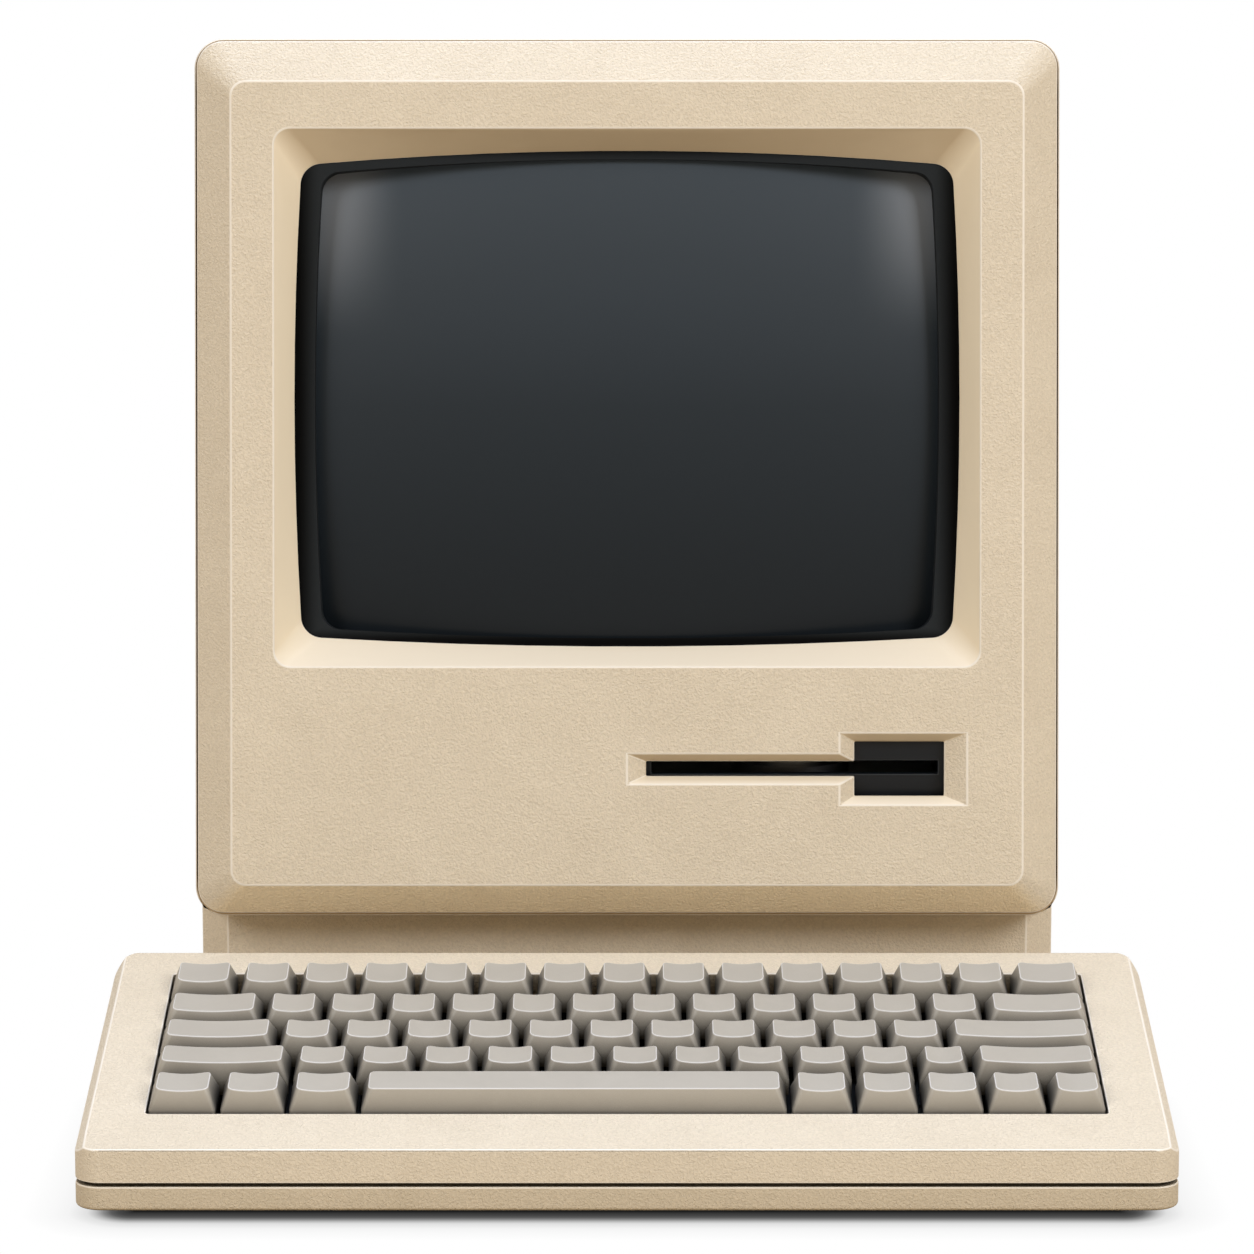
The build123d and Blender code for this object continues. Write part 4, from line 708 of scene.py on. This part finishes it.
def floor():
    """A white floor that the eye sees with a painted shadow close under the two cases, and that throws soft
    light back.
    """
    made, nodes, links, shader = new_material("pale_floor")
    nodes.remove(shader)
    near = figure(nodes, links, "MINIMUM",
                  footprint_shade(nodes, links, "keyboard", keyboard_width, keyboard_front,
                                  keyboard_front + keyboard_depth),
                  footprint_shade(nodes, links, "computer", bezel_width, case_front, case_back))
    tone = ramp(nodes, links, spread(nodes, links, near, 0, shade_reach, False),
                [(share, (level,) * 3) for share, level in shade_tones])
    white = nodes.new("ShaderNodeEmission")
    links.new(tone, white.inputs["Color"])
    matt = nodes.new("ShaderNodeBsdfDiffuse")
    matt.inputs["Color"].default_value = (*floor_tone, 1)
    path = nodes.new("ShaderNodeLightPath")
    both = nodes.new("ShaderNodeMixShader")
    links.new(path.outputs["Is Camera Ray"], both.inputs["Fac"])
    links.new(matt.outputs["BSDF"], both.inputs[1])
    links.new(white.outputs["Emission"], both.inputs[2])
    links.new(both.outputs["Shader"], nodes["Material Output"].inputs["Surface"])
    work = bmesh.new()
    bmesh.ops.create_circle(work, cap_ends=True, segments=floor_segments, radius=floor_radius)
    piece = add_piece("floor", work, made)


def sky():
    """White to the eye, a soft warm tone as light."""
    world = bpy.data.worlds.new("studio")
    bpy.context.scene.world = world
    world.use_nodes = True
    nodes, links = world.node_tree.nodes, world.node_tree.links
    path = nodes.new("ShaderNodeLightPath")
    seen = nodes.new("ShaderNodeBackground")
    seen.inputs["Color"].default_value = (1, 1, 1, 1)
    seen.inputs["Strength"].default_value = 1.0
    soft = nodes["Background"]
    soft.inputs["Color"].default_value = (*warm_light, 1)
    soft.inputs["Strength"].default_value = sky_strength
    both = nodes.new("ShaderNodeMixShader")
    links.new(path.outputs["Is Camera Ray"], both.inputs["Fac"])
    links.new(soft.outputs["Background"], both.inputs[1])
    links.new(seen.outputs["Background"], both.inputs[2])
    links.new(both.outputs["Shader"], nodes["World Output"].inputs["Surface"])


def softbox(name, place, aim, size, power, colour):
    """A square lamp that faces a point."""
    lamp = bpy.data.lights.new(name, "AREA")
    lamp.shape = "SQUARE"
    lamp.size = size
    lamp.energy = power
    lamp.color = colour
    piece = bpy.data.objects.new(name, lamp)
    piece.location = place
    piece.rotation_euler = (Vector(aim) - Vector(place)).to_track_quat("-Z", "Y").to_euler()
    bpy.context.scene.collection.objects.link(piece)


def camera():
    """The photograph's view, from in front and a little above."""
    lens = bpy.data.cameras.new("camera")
    lens.sensor_width = sensor_width
    lens.lens = focal_length
    piece = bpy.data.objects.new("camera", lens)
    piece.location = camera_place
    piece.rotation_euler = (radians(90 - camera_down), 0, 0)
    bpy.context.scene.collection.objects.link(piece)
    bpy.context.scene.camera = piece


floor()
sky()
for lamp_values in softboxes:
    softbox(*lamp_values)
camera()
bpy.context.scene.view_settings.view_transform = "Standard"
